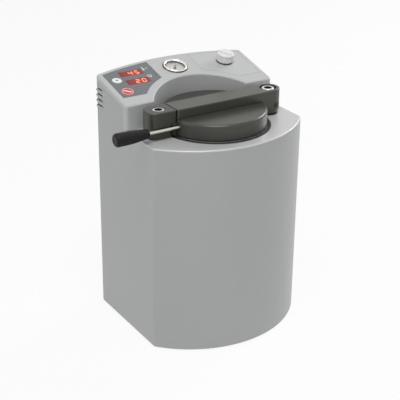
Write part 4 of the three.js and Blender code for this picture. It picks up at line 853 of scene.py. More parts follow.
@dataclass(frozen=True)
class LitSegment(Finish):
    """A lit segment behind a filter: pale orange at its heart, red at its edge."""

    edge: str = "#ff5a2a"
    strength: float = 1.0

    def pattern(self, look: Shading) -> None:
        """Light by the segment's own attribute.

        Args:
            look: The material being made.
        """
        heart = look.add("Attribute", attribute_name="heart").outputs["Fac"]
        look.feed("Emission Color", look.mixed(heart, linear(self.edge), linear(self.colour)))
        look.fix(Emission_Strength=self.strength, Base_Color=(0.0, 0.0, 0.0, 1.0))


@dataclass(frozen=True)
class ClearPane(Finish):
    """A clear acrylic pane: nearly unseen but for its reflections, a few fine rubs in its gloss."""

    opacity: float = 0.12
    rub_mm: float = 3.0

    def pattern(self, look: Shading) -> None:
        """Rubs in the gloss."""
        look.feed("Roughness", look.ranged(look.noise(self.rub_mm, 4.0), 0.02, 0.1).outputs[0])
        look.fix(Alpha=self.opacity)


@dataclass(frozen=True)
class MilkyPlastic(Finish):
    """Translucent milk-white polypropylene: some light passes through, so its ribs stay soft."""

    clearness: float = 0.18
    cloud_mm: float = 5.0

    def pattern(self, look: Shading) -> None:
        """A faint cloud in the milk.

        Args:
            look: The material being made.
        """
        cloud = look.noise(self.cloud_mm, 3.0)
        look.vary(cloud, 0.04, 0.05)
        look.fix(Transmission_Weight=self.clearness)
        look.bump(cloud, 0.15, 0.05)


@dataclass(frozen=True)
class MineralFibre(Finish):
    """Needled mineral fibre: a felted, shadowy mat of threads."""

    thread_mm: float = 2.0

    def pattern(self, look: Shading) -> None:
        """Threads, closer together up than across.

        Args:
            look: The material being made.
        """
        drawn = look.add("Mapping", {"Vector": look.place, "Scale": (1.0, 1.0, 3.0)})
        felt = look.noise(self.thread_mm, 8.0, drawn)
        look.vary(felt, 0.4, 0.02)
        look.bump(felt, 0.9, 0.6)


@dataclass(frozen=True)
class CircuitBoard(Finish):
    """Solder-masked glass laminate: glossy green with lighter copper runs under the mask."""

    def pattern(self, look: Shading) -> None:
        """The runs, as the joints of a fine brick pattern.

        Args:
            look: The material being made.
        """
        runs = look.add("TexBrick", {
            "Vector": look.place, "Scale": 90.0, "Mortar Size": 0.03,
            "Color1": linear(self.colour), "Color2": linear(self.colour, 0.85),
            "Mortar": linear(self.colour, 1.7)})
        look.feed("Base Color", runs.outputs["Color"])
        look.bump(runs.outputs["Fac"], 0.3, 0.035)


# Finishes of this unit

SILVER_COAT = PowderCoat("silver_powder_coat", "#a9abaa", 0.4, 0.45)
# The deck is drawn in a lighter grey than the housing, so the top shows lighter than the walls.
DECK_COAT = PowderCoat("light_grey_powder_coat", "#c6c7c6", 0.38, 0.2, fleck=0.02)
CONSOLE_ABS = Moulded("light_grey_moulded_abs", "#bcbebd", 0.48)
LABEL_FILM = PrintedFilm("light_grey_label_film", "#bec0bf", 0.42)
KEYPAD_FILM = PrintedFilm("mid_grey_keypad_film", "#6a6f72", 0.45)
WHITE_INK = PrintedFilm("white_print", "#e9eaea", 0.5)
DARK_INK = PrintedFilm("dark_print", "#3a3c3d", 0.5)
WHITE_KEY = Moulded("white_moulded_key", "#ededeb", 0.35)
RED_KEY = Moulded("red_moulded_key", "#d93440", 0.35)
LIT_DIGIT = LitSegment("lit_segment", "#ffdca6", 0.4, strength=1.25)
UNLIT_DIGIT = Moulded("unlit_segment", "#8c1d12", 0.3)
DARK_LENS = Moulded("dark_lamp_lens", "#4c2523", 0.2)
BAR_ANODISED = MachinedMetal("hard_anodised_milled", "#484942", 0.36, 0.32, mark_mm=0.9)
LID_ANODISED = MachinedMetal("hard_anodised_turned", "#42433d", 0.3, 0.32, lay=Lay.ROUND,
                             mark_mm=0.9, depth_mm=0.003)
BLOCK_ANODISED = MachinedMetal("hard_anodised_block", "#393a34", 0.38, 0.3, mark_mm=0.9)
BOLT_STEEL = MachinedMetal("turned_stainless_steel", "#d2d2cf", 0.24, 1.0, lay=Lay.ALONG_Z)
# Near-black painted shade for the depth of the bolts' hexagon sockets.
SOCKET_SHADE = Moulded("socket_painted_shade", "#0b0b0b", 0.6)
ROD_STEEL = MachinedMetal("drawn_stainless_steel", "#c9c7bd", 0.3, 1.0, mark_mm=0.4)
PLAIN_STEEL = MachinedMetal("machined_steel", "#b9bab7", 0.38, 1.0, lay=Lay.ALONG_Z)
BARE_ALUMINIUM = MachinedMetal("turned_aluminium", "#c8cacb", 0.36, 1.0, mark_mm=1.2)
ZINC_SHEET = MachinedMetal("zinc_plated_sheet", "#b2b7ba", 0.42, 1.0, lay=Lay.ALONG_Y, mark_mm=4.0)
CHROME_RING = MachinedMetal("chrome_plated_brass", "#e6e7e8", 0.14, 1.0, lay=Lay.ALONG_Z,
                            mark_mm=9.0, depth_mm=0.0005, spread=0.02)
TURNED_BRASS = MachinedMetal("turned_brass", "#b99b5a", 0.3, 1.0)
BLACK_NYLON = Moulded("black_moulded_nylon", "#0e0e0d", 0.4, ior=1.3, grain_mm=0.9,
                      depth_mm=0.05, spread=0.08)
BLACK_CASE = Moulded("black_moulded_case", "#101010", 0.5, ior=1.4)
COLLAR_AND_SHADE = Moulded("dark_grey_collar_and_painted_shade", "#3c3f3e", 0.5)
NEEDLE_PAINT = Moulded("matt_black_paint", "#060606", 0.8, ior=1.35)
NITRILE = Rubber("nitrile_rubber", "#1d1d1d", 0.62)
DIAL_PAINT = Moulded("white_dial_enamel", "#dad6ca", 0.5, grain_mm=3.0, depth_mm=0.005, spread=0.01)
PANE = ClearPane("acrylic_pane", "#ffffff", 0.04, ior=1.49)
MILK_KNOB = MilkyPlastic("milk_white_polypropylene", "#fbfbf9", 0.2, ior=1.49)
FELT = MineralFibre("mineral_fibre_felt", "#7a7367", 0.95)
BOARD = CircuitBoard("green_circuit_board", "#2c5a39", 0.35)
AIR_TUBE = Moulded("blue_polyurethane_tube", "#3f70a9", 0.28, grain_mm=2.0, depth_mm=0.01)


def ring(name: str, finish: Finish, section: list | tuple, reach: float, place: Place = upright,
         count: int = 96, *, nodes: tuple[str, ...] = (), slot: str = "") -> None:
    """A ring on the unit: a closed section of (radius, height) pairs carried round an axis.

    Args:
        name: The piece's name.
        finish: Its finish.
        section: The pairs.
        reach: Rounding of the section's corners.
        place: Carries the finished points to their place.
        count: Points round the axis.
        nodes: The nodes that it replaces.
        slot: The material slot, where it replaces none.
    """
    surface = Surface().turned(eased(np.array(section), reach), place, count, loop=True)
    settle(surface.piece(name, finish.material()), "unit", nodes, slot)


# Sub-assemblies

@dataclass
class Studio:
    """Plain pale floor, soft lamps and the camera at the photograph's angle, in metres."""

    elevation: float = 24.74
    turn: float = 32.34
    roll: float = 0.633
    lens: float = 98.52
    place: tuple[float, float, float] = (-0.8130, -1.3186, 0.9104)
    aim: tuple[float, float, float] = (0.0, 0.0, 0.2)
    ambient: float = 0.3
    white_share: float = 0.9
    floor_half: float = 6.0
    lamps: tuple[tuple[str, tuple[float, float, float], float, float], ...] = (
        ("key_lamp", (-0.35, -0.75, 2.2), 1.1, 24.0),
        ("back_lamp", (2.3, 0.5, 1.4), 1.0, 24.0),
        ("front_lamp", (-0.9, -2.2, 0.5), 1.6, 2.7),
        ("side_lamp", (-2.2, 0.3, 0.6), 1.2, 6.4))

    def build(self) -> None:
        """Makes the camera, the floor, the world and the lamps."""
        self.camera()
        self.floor()
        self.world()
        for lamp in self.lamps:
            self.lamp(*lamp)
        bpy.context.scene.view_settings.view_transform = "Standard"

    def pose(self, made: bpy.types.Object, axes: tuple[Array, Array, Array],
             place: tuple[float, float, float]) -> None:
        """Puts a camera or a lamp in its place.

        Args:
            made: The object.
            axes: Its right, up and back in the world.
            place: Where it stands.
        """
        matrix = np.eye(4)
        matrix[:3, :3] = np.stack(axes, 1)
        matrix[:3, 3] = place
        made.matrix_world = Matrix(matrix.tolist())

    def camera(self) -> None:
        """The camera: axes from its elevation, its turn to the left and its roll."""
        up_angle, side, roll = np.radians([self.elevation, self.turn, self.roll])
        back = np.array([-math.sin(side) * math.cos(up_angle),
                         -math.cos(side) * math.cos(up_angle), math.sin(up_angle)])
        level = np.array([math.cos(side), -math.sin(side), 0.0])
        up = np.cross(back, level)
        right = level * math.cos(roll) + up * math.sin(roll)
        top = up * math.cos(roll) - level * math.sin(roll)
        data = bpy.data.cameras.new("photo_view")
        data.lens = self.lens
        data.sensor_width = 36.0
        data.sensor_fit = "HORIZONTAL"
        made = linked("photo_view", data)
        self.pose(made, (right, top, back), self.place)
        bpy.context.scene.camera = made

    def white_rays(self, tree: bpy.types.NodeTree) -> bpy.types.Node:
        """One where a camera, glossy or transmission ray asks, which then sees plain white.

        Args:
            tree: The floor's or the world's nodes.

        Returns:
            The node.
        """
        rays = add(tree, "LightPath").outputs
        first = add(tree, "Math", {0: rays["Is Camera Ray"], 1: rays["Is Glossy Ray"]},
                    operation="MAXIMUM")
        return add(tree, "Math", {0: first, 1: rays["Is Transmission Ray"]}, operation="MAXIMUM")

    def floor(self) -> None:
        """A pale floor, lifted towards white for the camera, which keeps the object's shadow."""
        mesh = bpy.data.meshes.new("floor")
        corners = np.array([[-1, -1, 0], [1, -1, 0], [1, 1, 0], [-1, 1, 0]]) * self.floor_half
        mesh.from_pydata(corners.tolist(), [], [[0, 1, 2, 3]])
        made = linked("floor", mesh)
        material = bpy.data.materials.new("pale_floor")
        material.use_nodes = True
        tree = material.node_tree
        tree.nodes.clear()
        matt = add(tree, "BsdfDiffuse", {"Color": linear("#f4f4f4")})
        white = add(tree, "Emission", {"Color": linear("#ffffff"), "Strength": 1.0})
        share = add(tree, "Math", {0: self.white_rays(tree), 1: self.white_share},
                    operation="MULTIPLY")
        mixed = add(tree, "MixShader", {0: share, 1: matt, 2: white})
        add(tree, "OutputMaterial", {"Surface": mixed})
        mesh.materials.append(material)

    def world(self) -> None:
        """Even light all round, seen as white."""
        made = bpy.data.worlds.new("studio")
        bpy.context.scene.world = made
        made.use_nodes = True
        tree = made.node_tree
        tree.nodes.clear()
        strength = add(tree, "MapRange", {"Value": self.white_rays(tree),
                                          "To Min": self.ambient, "To Max": 1.0})
        light = add(tree, "Background", {"Color": linear("#ffffff"), "Strength": strength})
        add(tree, "OutputWorld", {"Surface": light})

    def lamp(self, name: str, place: tuple[float, float, float], size: float,
             power: float) -> None:
        """A square soft lamp that faces the object's middle.

        Args:
            name: The lamp's name.
            place: Where it stands.
            size: Its width.
            power: Its watts.
        """
        data = bpy.data.lights.new(name, "AREA")
        data.size = size
        data.energy = power
        back = np.array(place) - np.array(self.aim)
        back /= np.linalg.norm(back)
        level = np.cross([0.0, 0.0, 1.0], back)
        level /= np.linalg.norm(level)
        self.pose(linked(name, data), (level, np.cross(back, level), back), place)


@dataclass
class Casing:
    """Folded steel housing with its louvres, rear panel, deck and base.

    A louvre is a low and a high level; an opening is left, right, low and high.
    """

    sheet: float = 1.5
    skirt: float = 3.5
    wing_y: float = 45.8
    rear_edge: float = 124.0
    cover_lip: float = 9.0
    gap: float = 0.3
    bend: float = 5.6
    fold: float = 2.8
    deck_thickness: float = 2.0
    deck_step: float = 3.6
    deck_edge: float = 1.9
    louvre_reach: float = 109.0
    louvres: tuple[tuple[float, float], ...] = (
        (341.9, 346.5), (350.4, 355.0), (358.9, 363.5), (367.4, 372.0))
    pressed: tuple[tuple[float, float], ...] = (
        (0.0, -1.5), (0.9, -1.0), (1.5, 0.1), (1.4, 1.0), (0.5, 2.1), (-1.2, 2.7))
    pressed_fade: float = 3.0
    least_fade: float = 0.02
    wall_levels: tuple[float, float] = (120.0, 240.0)
    openings: tuple[tuple[float, float, float, float], ...] = (
        (-12.3, 12.3, 30.7, 61.3), (-53.8, -36.2, 32.7, 59.3), (55.5, 64.5, 41.5, 50.5),
        (55.5, 64.5, 79.5, 88.5), (-96.7, -93.3, 16.3, 19.7), (93.3, 96.7, 16.3, 19.7),
        (-96.7, -93.3, 314.3, 317.7), (93.3, 96.7, 314.3, 317.7))
    lap: tuple[tuple[float, float], ...] = ((128.0, 112.0), (128.0, 127.5))
    deck_holes: tuple[tuple[float, float, float, int], ...] = (
        (0, 0, 85.0, 120), (-PIVOT_X, 0, 6.3, 48), (PIVOT_X, 0, 8.3, 48), (77, 119, 5, 48),
        (36, 118, 5, 48), (0, 122, 5, 48))
    foot: tuple[tuple[float, float], ...] = (
        (0, 1.2), (6.5, 1.2), (7.5, 0), (12, 0), (12, 5.7), (4, 5.7), (4, 8), (0, 8.0))
    feet_at: tuple[tuple[str, float, float], ...] = (
        ("foot_front_left", -85, -52), ("foot_front_right", 85, -52),
        ("foot_rear_left", -100, 102), ("foot_rear_right", 100, 102))

    def build(self) -> None:
        """Makes every casing piece."""
        self.housing()
        self.rear()
        self.deck()
        self.feet()
        recast("base_plate", ZINC_SHEET.material())

    def front_path(self) -> Array:
        """Sides and bowed front, from the left rear edge round to the right one.

        Returns:
            The plan path.
        """
        ys = (self.rear_edge, self.louvre_reach, self.wing_y)
        left = np.array([[-HALF_WIDTH, y] for y in ys])
        path = np.concatenate([left, front_bow(), left[::-1] * [-1, 1]])
        return eased(path, self.fold, closed=False)

    def rear_corner(self, sign: int) -> Array:
        """Bend of the sheet at a rear corner: (1-t)^2 A + 2t(1-t) C + t^2 B from side to rear.

        Args:
            sign: -1 for the left corner, 1 for the right one.

        Returns:
            The plan points of the bend.
        """
        last = rear_bow(np.array([HALF_WIDTH - self.bend * 0.96]))[0]
        ends = np.array([[HALF_WIDTH, REAR_CORNER_Y - self.bend], [HALF_WIDTH, REAR_CORNER_Y],
                         last])
        t = np.linspace(0, 1, 9)[:, None]
        bent = (1 - t) ** 2 * ends[0] + 2 * t * (1 - t) * ends[1] + t ** 2 * ends[2]
        return bent * [sign, 1]

    def rear_path(self) -> Array:
        """The bowed rear from the left side's edge to the right side's.

        Returns:
            The plan path, with a point at the edge of every opening.
        """
        sides = {abs(x) for opening in self.openings for x in opening[:2]}
        edges = np.array([self.louvre_reach, *sides])
        x = np.concatenate([edges, -edges, np.linspace(-105, 105, 15)])
        bow = rear_bow(np.unique(np.round(x, 3)))
        end = np.array([[-HALF_WIDTH, self.rear_edge + self.gap]])
        return np.concatenate([end, self.rear_corner(-1), bow, self.rear_corner(1)[::-1],
                               end * [-1, 1]])

    def top(self, y: Array) -> Array:
        """Upper edge of the sheets under the console's lip."""
        return slope_z(y) - self.cover_lip - self.gap

    def levels(self) -> list[float]:
        """Heights of the louvres' edges."""
        return [z for pair in self.louvres for z in pair]

    def louvre_cells(self, rings: Array) -> Array:
        """Finds the cells that a louvre opens, by their middles.

        Args:
            rings: Points, ring by ring.

        Returns:
            True for each such cell.
        """
        middle = (rings[:-1, :-1] + rings[1:, :-1] + rings[:-1, 1:] + rings[1:, 1:]) / 4
        x, y, z = np.moveaxis(middle, -1, 0)
        cut = np.zeros(z.shape, bool)
        for low, high in self.louvres:
            cut |= (z > low) & (z < high)
        return cut & (np.abs(x) > self.louvre_reach - 1.0) & (y > self.louvre_reach)

    def lips(self, surface: Surface, path: Array) -> None:
        """Pressed lips: under each louvre a rounded profile, which fades at the louvre's end.

        A point of the profile stands out along the wall's normal by its first number and up
        from the louvre's lower edge by its second, both times sqrt(distance from the end /
        3 mm), at most 1. The least fade keeps the lip's end off the wall's corner, which
        would bend its shading.

        Args:
            surface: The wall's surface.
            path: The wall's plan path.
        """
        near = self.louvre_reach - 0.01
        for sign in (-1, 1):
            held = path[(path[:, 0] * sign > near) & (path[:, 1] > near)]
            if len(held) < 2:
                continue
            legs = np.linalg.norm(np.diff(held, axis=0), axis=1)
            length = np.concatenate([[0], np.cumsum(legs)])
            at = np.linspace(0, length[-1], 2 + int(length[-1] / 0.7))
            line = np.stack([np.interp(at, length, held[:, i]) for i in (0, 1)], 1)
            along = np.gradient(line, axis=0)
            along /= np.linalg.norm(along, axis=1, keepdims=True)
            out = np.stack([-along[:, 1], along[:, 0]], 1)
            out *= np.sign((out * line).sum(1, keepdims=True))
            far_in = np.minimum(line[:, 0] * sign, line[:, 1]) - self.louvre_reach
            fade = np.sqrt(np.clip(far_in / self.pressed_fade, self.least_fade ** 2, 1))
            for low, _ in self.louvres:
                surface.band(np.stack([raised(line + out * (far * fade)[:, None], low + rise * fade)
                                       for far, rise in self.pressed]), closed=False)

    def walled(self, surface: Surface, path: Array, levels: list[float],
               openings: tuple = (), to_top: bool = True) -> None:
        """A wall on a plan path: the path carried up through the levels, without its openings.

        Args:
            surface: Takes the wall.
            path: The plan path.
            levels: Heights of its rings.
            openings: Left, right, low and high of each.
            to_top: Whether the wall goes on to the sloped edge.
        """
        heights = [np.full(len(path), z) for z in levels]
        if to_top:
            heights = [np.minimum(z, self.top(path[:, 1])) for z in [*heights, np.inf]]
        rings = np.stack([raised(path, z) for z in heights])
        cut = self.louvre_cells(rings)
        x, y, z = np.moveaxis((rings[:-1, :-1] + rings[1:, 1:]) / 2, -1, 0)
        for left, right, low, high in openings:
            cut |= (x > left) & (x < right) & (z > low) & (z < high) & (y > self.lap[0][0])
        surface.band(rings, closed=False, keep=~cut)

    def skin(self, surface: Surface, name: str, node: str) -> None:
        """Makes a coated sheet of a surface.

        Args:
            surface: The sheet's outer face.
            name: The piece's name.
            node: The node that it replaces.
        """
        made = surface.piece(name, SILVER_COAT.material(), thickness=self.sheet, sheet=True)
        settle(made, "unit", (node,))

    def housing(self) -> None:
        """The folded shell: skirt to deck all round, and the two wings behind."""
        surface = Surface()
        path = self.front_path()
        seam = DECK - self.deck_thickness - self.gap
        self.walled(surface, path, [self.skirt, *self.wall_levels, seam], to_top=False)
        for sign in (-1, 1):
            wing = path[(path[:, 1] >= self.wing_y - 0.01) & (path[:, 0] * sign > 0)]
            self.walled(surface, wing, [seam, *self.levels()])
            self.lips(surface, wing)
            x, y = sign * HALF_WIDTH, self.wing_y
            ahead = np.array([[x, y], [x, y - self.deck_edge]])[::-sign]
            self.walled(surface, ahead, [seam, DECK + 0.2], to_top=False)
        self.skin(surface, "housing_skin", "housing_shell")

    def rear(self) -> None:
        """The rear panel, bent round both corners, with its openings, and laps behind the sides."""
        edges = [z for opening in self.openings for z in opening[2:]]
        levels = sorted({self.skirt, *self.wall_levels, *self.levels(), *edges})
        surface = Surface()
        self.walled(surface, self.rear_path(), levels, self.openings)
        self.lips(surface, self.rear_path())
        for sign in (-1, 1):
            self.walled(surface, np.array(self.lap) * [sign, 1], [self.skirt, *self.levels()])
        self.skin(surface, "rear_skin", "rear_panel")

    def deck(self) -> None:
        """The deck plate: front flush with the housing, narrower behind, round opening."""
        side, step = HALF_WIDTH - self.deck_step, self.wing_y - self.gap
        corner = np.array([[HALF_WIDTH, step - 1.6], [side, step]])
        rear = rear_bow(np.linspace(side, -side, 15), 1.8)
        outline = np.concatenate([front_bow(), corner, rear, corner[::-1] * [-1, 1]])
        holes = tuple(circle(*hole) for hole in self.deck_holes)
        surface = Surface().slab(eased(outline, self.fold), DECK - self.deck_thickness - 0.22, DECK,
                                 holes=holes, edge=self.deck_edge, hole_edge=0.5)
        settle(surface.piece("deck_skin", DECK_COAT.material()), "unit", ("deck_plate",))

    def feet(self) -> None:
        """Four moulded feet with rounded treads."""
        profile = open_eased(self.foot, 0.8)
        material = NITRILE.material()
        for name, x, y in self.feet_at:
            turned = Surface().turned(profile, lambda p, at=(x, y, 0.0): p + np.array(at), 48)
            settle(turned.piece(f"{name}_moulding", material), "unit", (name,))


@dataclass
class Console:
    """Moulded console cover with its pockets, the keypad film and the label field."""

    edge: float = 3.2
    rim: float = 2.2
    wall: float = 3.0
    corner: float = 6.0
    scoop: float = 92.3
    scoop_y: float = -6.0
    skirt_foot: float = 8.7
    skirt_in: float = 3.6
    field_outer: float = 121.5
    field_inner: float = 37.0
    field_front: float = 58.0
    field_near: float = 104.0
    field_far: float = REAR_RADIUS - 7.0
    pocket: float = 0.8
    stem: float = 4.0
    gauge_hole: float = 18.6
    windows: tuple[tuple[float, float, float, float], ...] = (
        (-77, 116.7, 38.6, 13.6), (-77, 93.4, 38.6, 13.6))
    keys: tuple[tuple[float, float, float], ...] = ((-107.3, 104.2, 7.8), (-106.8, 72.2, 9.8))
    casing: Casing = field(default_factory=Casing)

    def build(self) -> None:
        """Makes the cover, the films and the board under them."""
        self.cover()
        self.keypad()
        self.label()
        recast("display_board", BOARD.material())

    def outline(self) -> Array:
        """Plan of the cover: straight front with the filleted scoop, rounded corners, bowed rear.

        Returns:
            The closed plan path.
        """
        front, r = CONSOLE_FRONT_Y + self.corner, self.corner
        rise = front - self.scoop_y
        reach = math.sqrt((self.scoop + r) ** 2 - rise ** 2)
        tangent = math.atan2(rise, reach)
        vent = self.casing.louvre_reach
        x = np.concatenate([[118], np.linspace(vent, -vent, 19), [-118]])
        step = np.array([[HALF_WIDTH, 45.49], [HALF_WIDTH, 45.51], [HALF_WIDTH, vent]])
        return np.concatenate([
            arc(r - HALF_WIDTH, front, r, HALF_TURN, THREE_QUARTERS, 9),
            arc(-reach, front, r, -QUARTER, -tangent, 9)[:-1],
            arc(0, self.scoop_y, self.scoop, HALF_TURN - tangent, tangent, 61),
            arc(reach, front, r, HALF_TURN + tangent, THREE_QUARTERS, 9)[1:],
            arc(HALF_WIDTH - r, front, r, THREE_QUARTERS, math.tau, 9),
            step,
            self.casing.rear_corner(1),
            rear_bow(x),
            self.casing.rear_corner(-1)[::-1],
            step[::-1] * [-1, 1],
        ])

    def control_field(self, sign: int, margin: float) -> Array:
        """Outline of a field on the panel, its corners rounded.

        Args:
            sign: -1 for the keypad's, 1 for the label's.
            margin: How far it is drawn in.

        Returns:
            The outline, across and up the slope.
        """
        outer, inner = self.field_outer - margin, self.field_inner + margin
        near, far = self.field_near + margin, self.field_far - margin
        front = self.field_front + margin
        start = math.asin((front - self.scoop_y) / near)
        plan = np.concatenate([
            [[outer, front]],
            arc(0, self.scoop_y, near, start, math.acos(inner / near), 15),
            arc(0, REAR_CENTRE_Y, far, math.acos(inner / far), math.acos(outer / far), 9),
        ]) * [sign, 1]
        placed = np.stack([plan[:, 0], up_slope(plan[:, 1])], 1)
        return eased(placed[::-1] if sign > 0 else placed, 1.6)

    def cover(self) -> None:
        """The cover: its profile (edge, wall, skirt, inside) carried round its plan and filled."""
        path = self.outline()
        side, y = np.abs(path[:, 0]), path[:, 1]
        behind = ((side > 129) & (y > 45.5)) | (y > 120)
        scooped = np.hypot(side, y - self.scoop_y) < self.scoop + self.corner + 0.5
        radius = np.where(scooped, self.rim, self.edge)
        low = DECK + 0.3
        rings = []
        for across, drop in quarter(1.0, 8):
            moved = inset(path, radius * across)
            rings.append(raised(moved, slope_z(moved[:, 1]) - radius * drop))
        foot = np.where(behind, slope_z(y) - self.skirt_foot, low)
        skirt = inset(path, np.where(behind, self.skirt_in, 0.0))
        hollow = inset(path, np.where(behind, self.skirt_in + self.wall, self.wall))
        for sign in (-1, 1):
            bend = np.flatnonzero((path[:, 0] * sign > 124.4) & (y > REAR_CORNER_Y - 5.7))
            hollow[bend] = np.linspace(hollow[bend[0]], hollow[bend[-1]], len(bend))
        levels = self.casing.levels()
        rings += [raised(path, foot), raised(skirt, foot)]
        rings += [raised(skirt, np.minimum(z, foot)) for z in [*levels[::-1], low]]
        top = slope_z(hollow[:, 1]) - self.wall
        rings += [raised(hollow, np.minimum(z, top)) for z in [low, *levels, np.inf]]
        whole = np.stack(rings)
        cut = self.casing.louvre_cells(np.concatenate([whole, whole[:, :1]], 1))
        surface = Surface().band(whole, keep=~cut)
        self.vents(surface, path, skirt, hollow)
        self.pockets(surface, rings[0], rings[-1])
        made = surface.piece("console_moulding", CONSOLE_ABS.material(), angle=40)
        settle(made, "unit", ("console_cover",))

    def pockets(self, surface: Surface, outer: Array, inner: Array) -> None:
        """The sloped top and its underside, with the fields' pockets and the holes between.

        Args:
            surface: The cover's surface.
            outer: The top's edge.
            inner: The underside's edge.
        """
        under = -self.wall * math.cos(SLOPE)

        def walls(outline: Array, *heights: float) -> list[Array]:
            """An outline on the panel at several heights."""
            return [on_panel(raised(outline, height)) for height in heights]

        keypad = walls(self.control_field(-1, 0), 0.0, -self.pocket)
        window = walls(self.control_field(-1, 3.0), -self.pocket, under)
        label = walls(self.control_field(1, 0), 0.0, -self.pocket)
        gauge = walls(circle(0, up_slope(GAUGE_Y), self.gauge_hole, 64), 0.0, under)
        stem = walls(circle(KNOB_XY[0], up_slope(KNOB_XY[1]), self.stem), -self.pocket, under)
        for rings in ([*keypad, *window], label, gauge, stem):
            surface.band(np.stack(rings))
        surface.fill(outer, [keypad[0], label[0], gauge[0]])
        surface.fill(label[1], [stem[0]])
        surface.fill(inner, [window[1], gauge[1], stem[1]])

    def vents(self, surface: Surface, path: Array, skirt: Array, hollow: Array) -> None:
        """Closes the louvres' cut edges through the skirt: floor, roof and both ends of each.

        Args:
            surface: The cover's surface.
            path: The cover's plan.
            skirt: The skirt's outer face, point for point.
            hollow: The skirt's inner face, point for point.
        """
        reach = self.casing.louvre_reach - 0.01
        for sign in (-1, 1):
            held = (path[:, 0] * sign > reach) & (path[:, 1] > reach)
            outer, inner = skirt[held], hollow[held]
            for pair in self.casing.louvres:
                for z in pair:
                    surface.band(np.stack([raised(outer, z), raised(inner, z)]), closed=False)
                for end in (0, -1):
                    edge = np.stack([outer[end], inner[end]])
                    surface.band(np.stack([raised(edge, z) for z in pair]), closed=False)

    def keypad(self) -> None:
        """The keypad film with its windows and key holes."""
        windows = tuple(box_path(x, up_slope(y), *size) for x, y, *size in self.windows)
        keys = tuple(circle(x, up_slope(y), radius) for x, y, radius in self.keys)
        surface = Surface().slab(self.control_field(-1, 0.3), -0.5, 0.1, holes=(*windows, *keys),
                                 lift=on_panel)
        settle(surface.piece("keypad_film", KEYPAD_FILM.material()), "unit", ("control_membrane",))

    def label(self) -> None:
        """The label field under the knob."""
        hole = circle(KNOB_XY[0], up_slope(KNOB_XY[1]), self.stem)
        surface = Surface().slab(self.control_field(1, 0.3), -0.5, 0.06, holes=(hole,),
                                 lift=on_panel)
        settle(surface.piece("label_film", LABEL_FILM.material()), "unit", ("right_fascia",))


class Segment(Enum):
    """Bars of a seven-segment digit: each one's two ends in a cell one wide and two high."""

    TOP = ((0.0, 2.0), (1.0, 2.0))
    UPPER_RIGHT = ((1.0, 2.0), (1.0, 1.0))
    LOWER_RIGHT = ((1.0, 1.0), (1.0, 0.0))
    BOTTOM = ((1.0, 0.0), (0.0, 0.0))
    LOWER_LEFT = ((0.0, 0.0), (0.0, 1.0))
    UPPER_LEFT = ((0.0, 1.0), (0.0, 2.0))
    MIDDLE = ((0.0, 1.0), (1.0, 1.0))


DIGITS: dict[str, tuple[Segment, ...]] = {
    " ": (),
    "0": tuple(bar for bar in Segment if bar is not Segment.MIDDLE),
    "2": (Segment.TOP, Segment.UPPER_RIGHT, Segment.MIDDLE, Segment.LOWER_LEFT, Segment.BOTTOM),
    "4": (Segment.UPPER_LEFT, Segment.MIDDLE, Segment.UPPER_RIGHT, Segment.LOWER_RIGHT),
    "5": (Segment.TOP, Segment.UPPER_LEFT, Segment.MIDDLE, Segment.LOWER_RIGHT, Segment.BOTTOM),
}


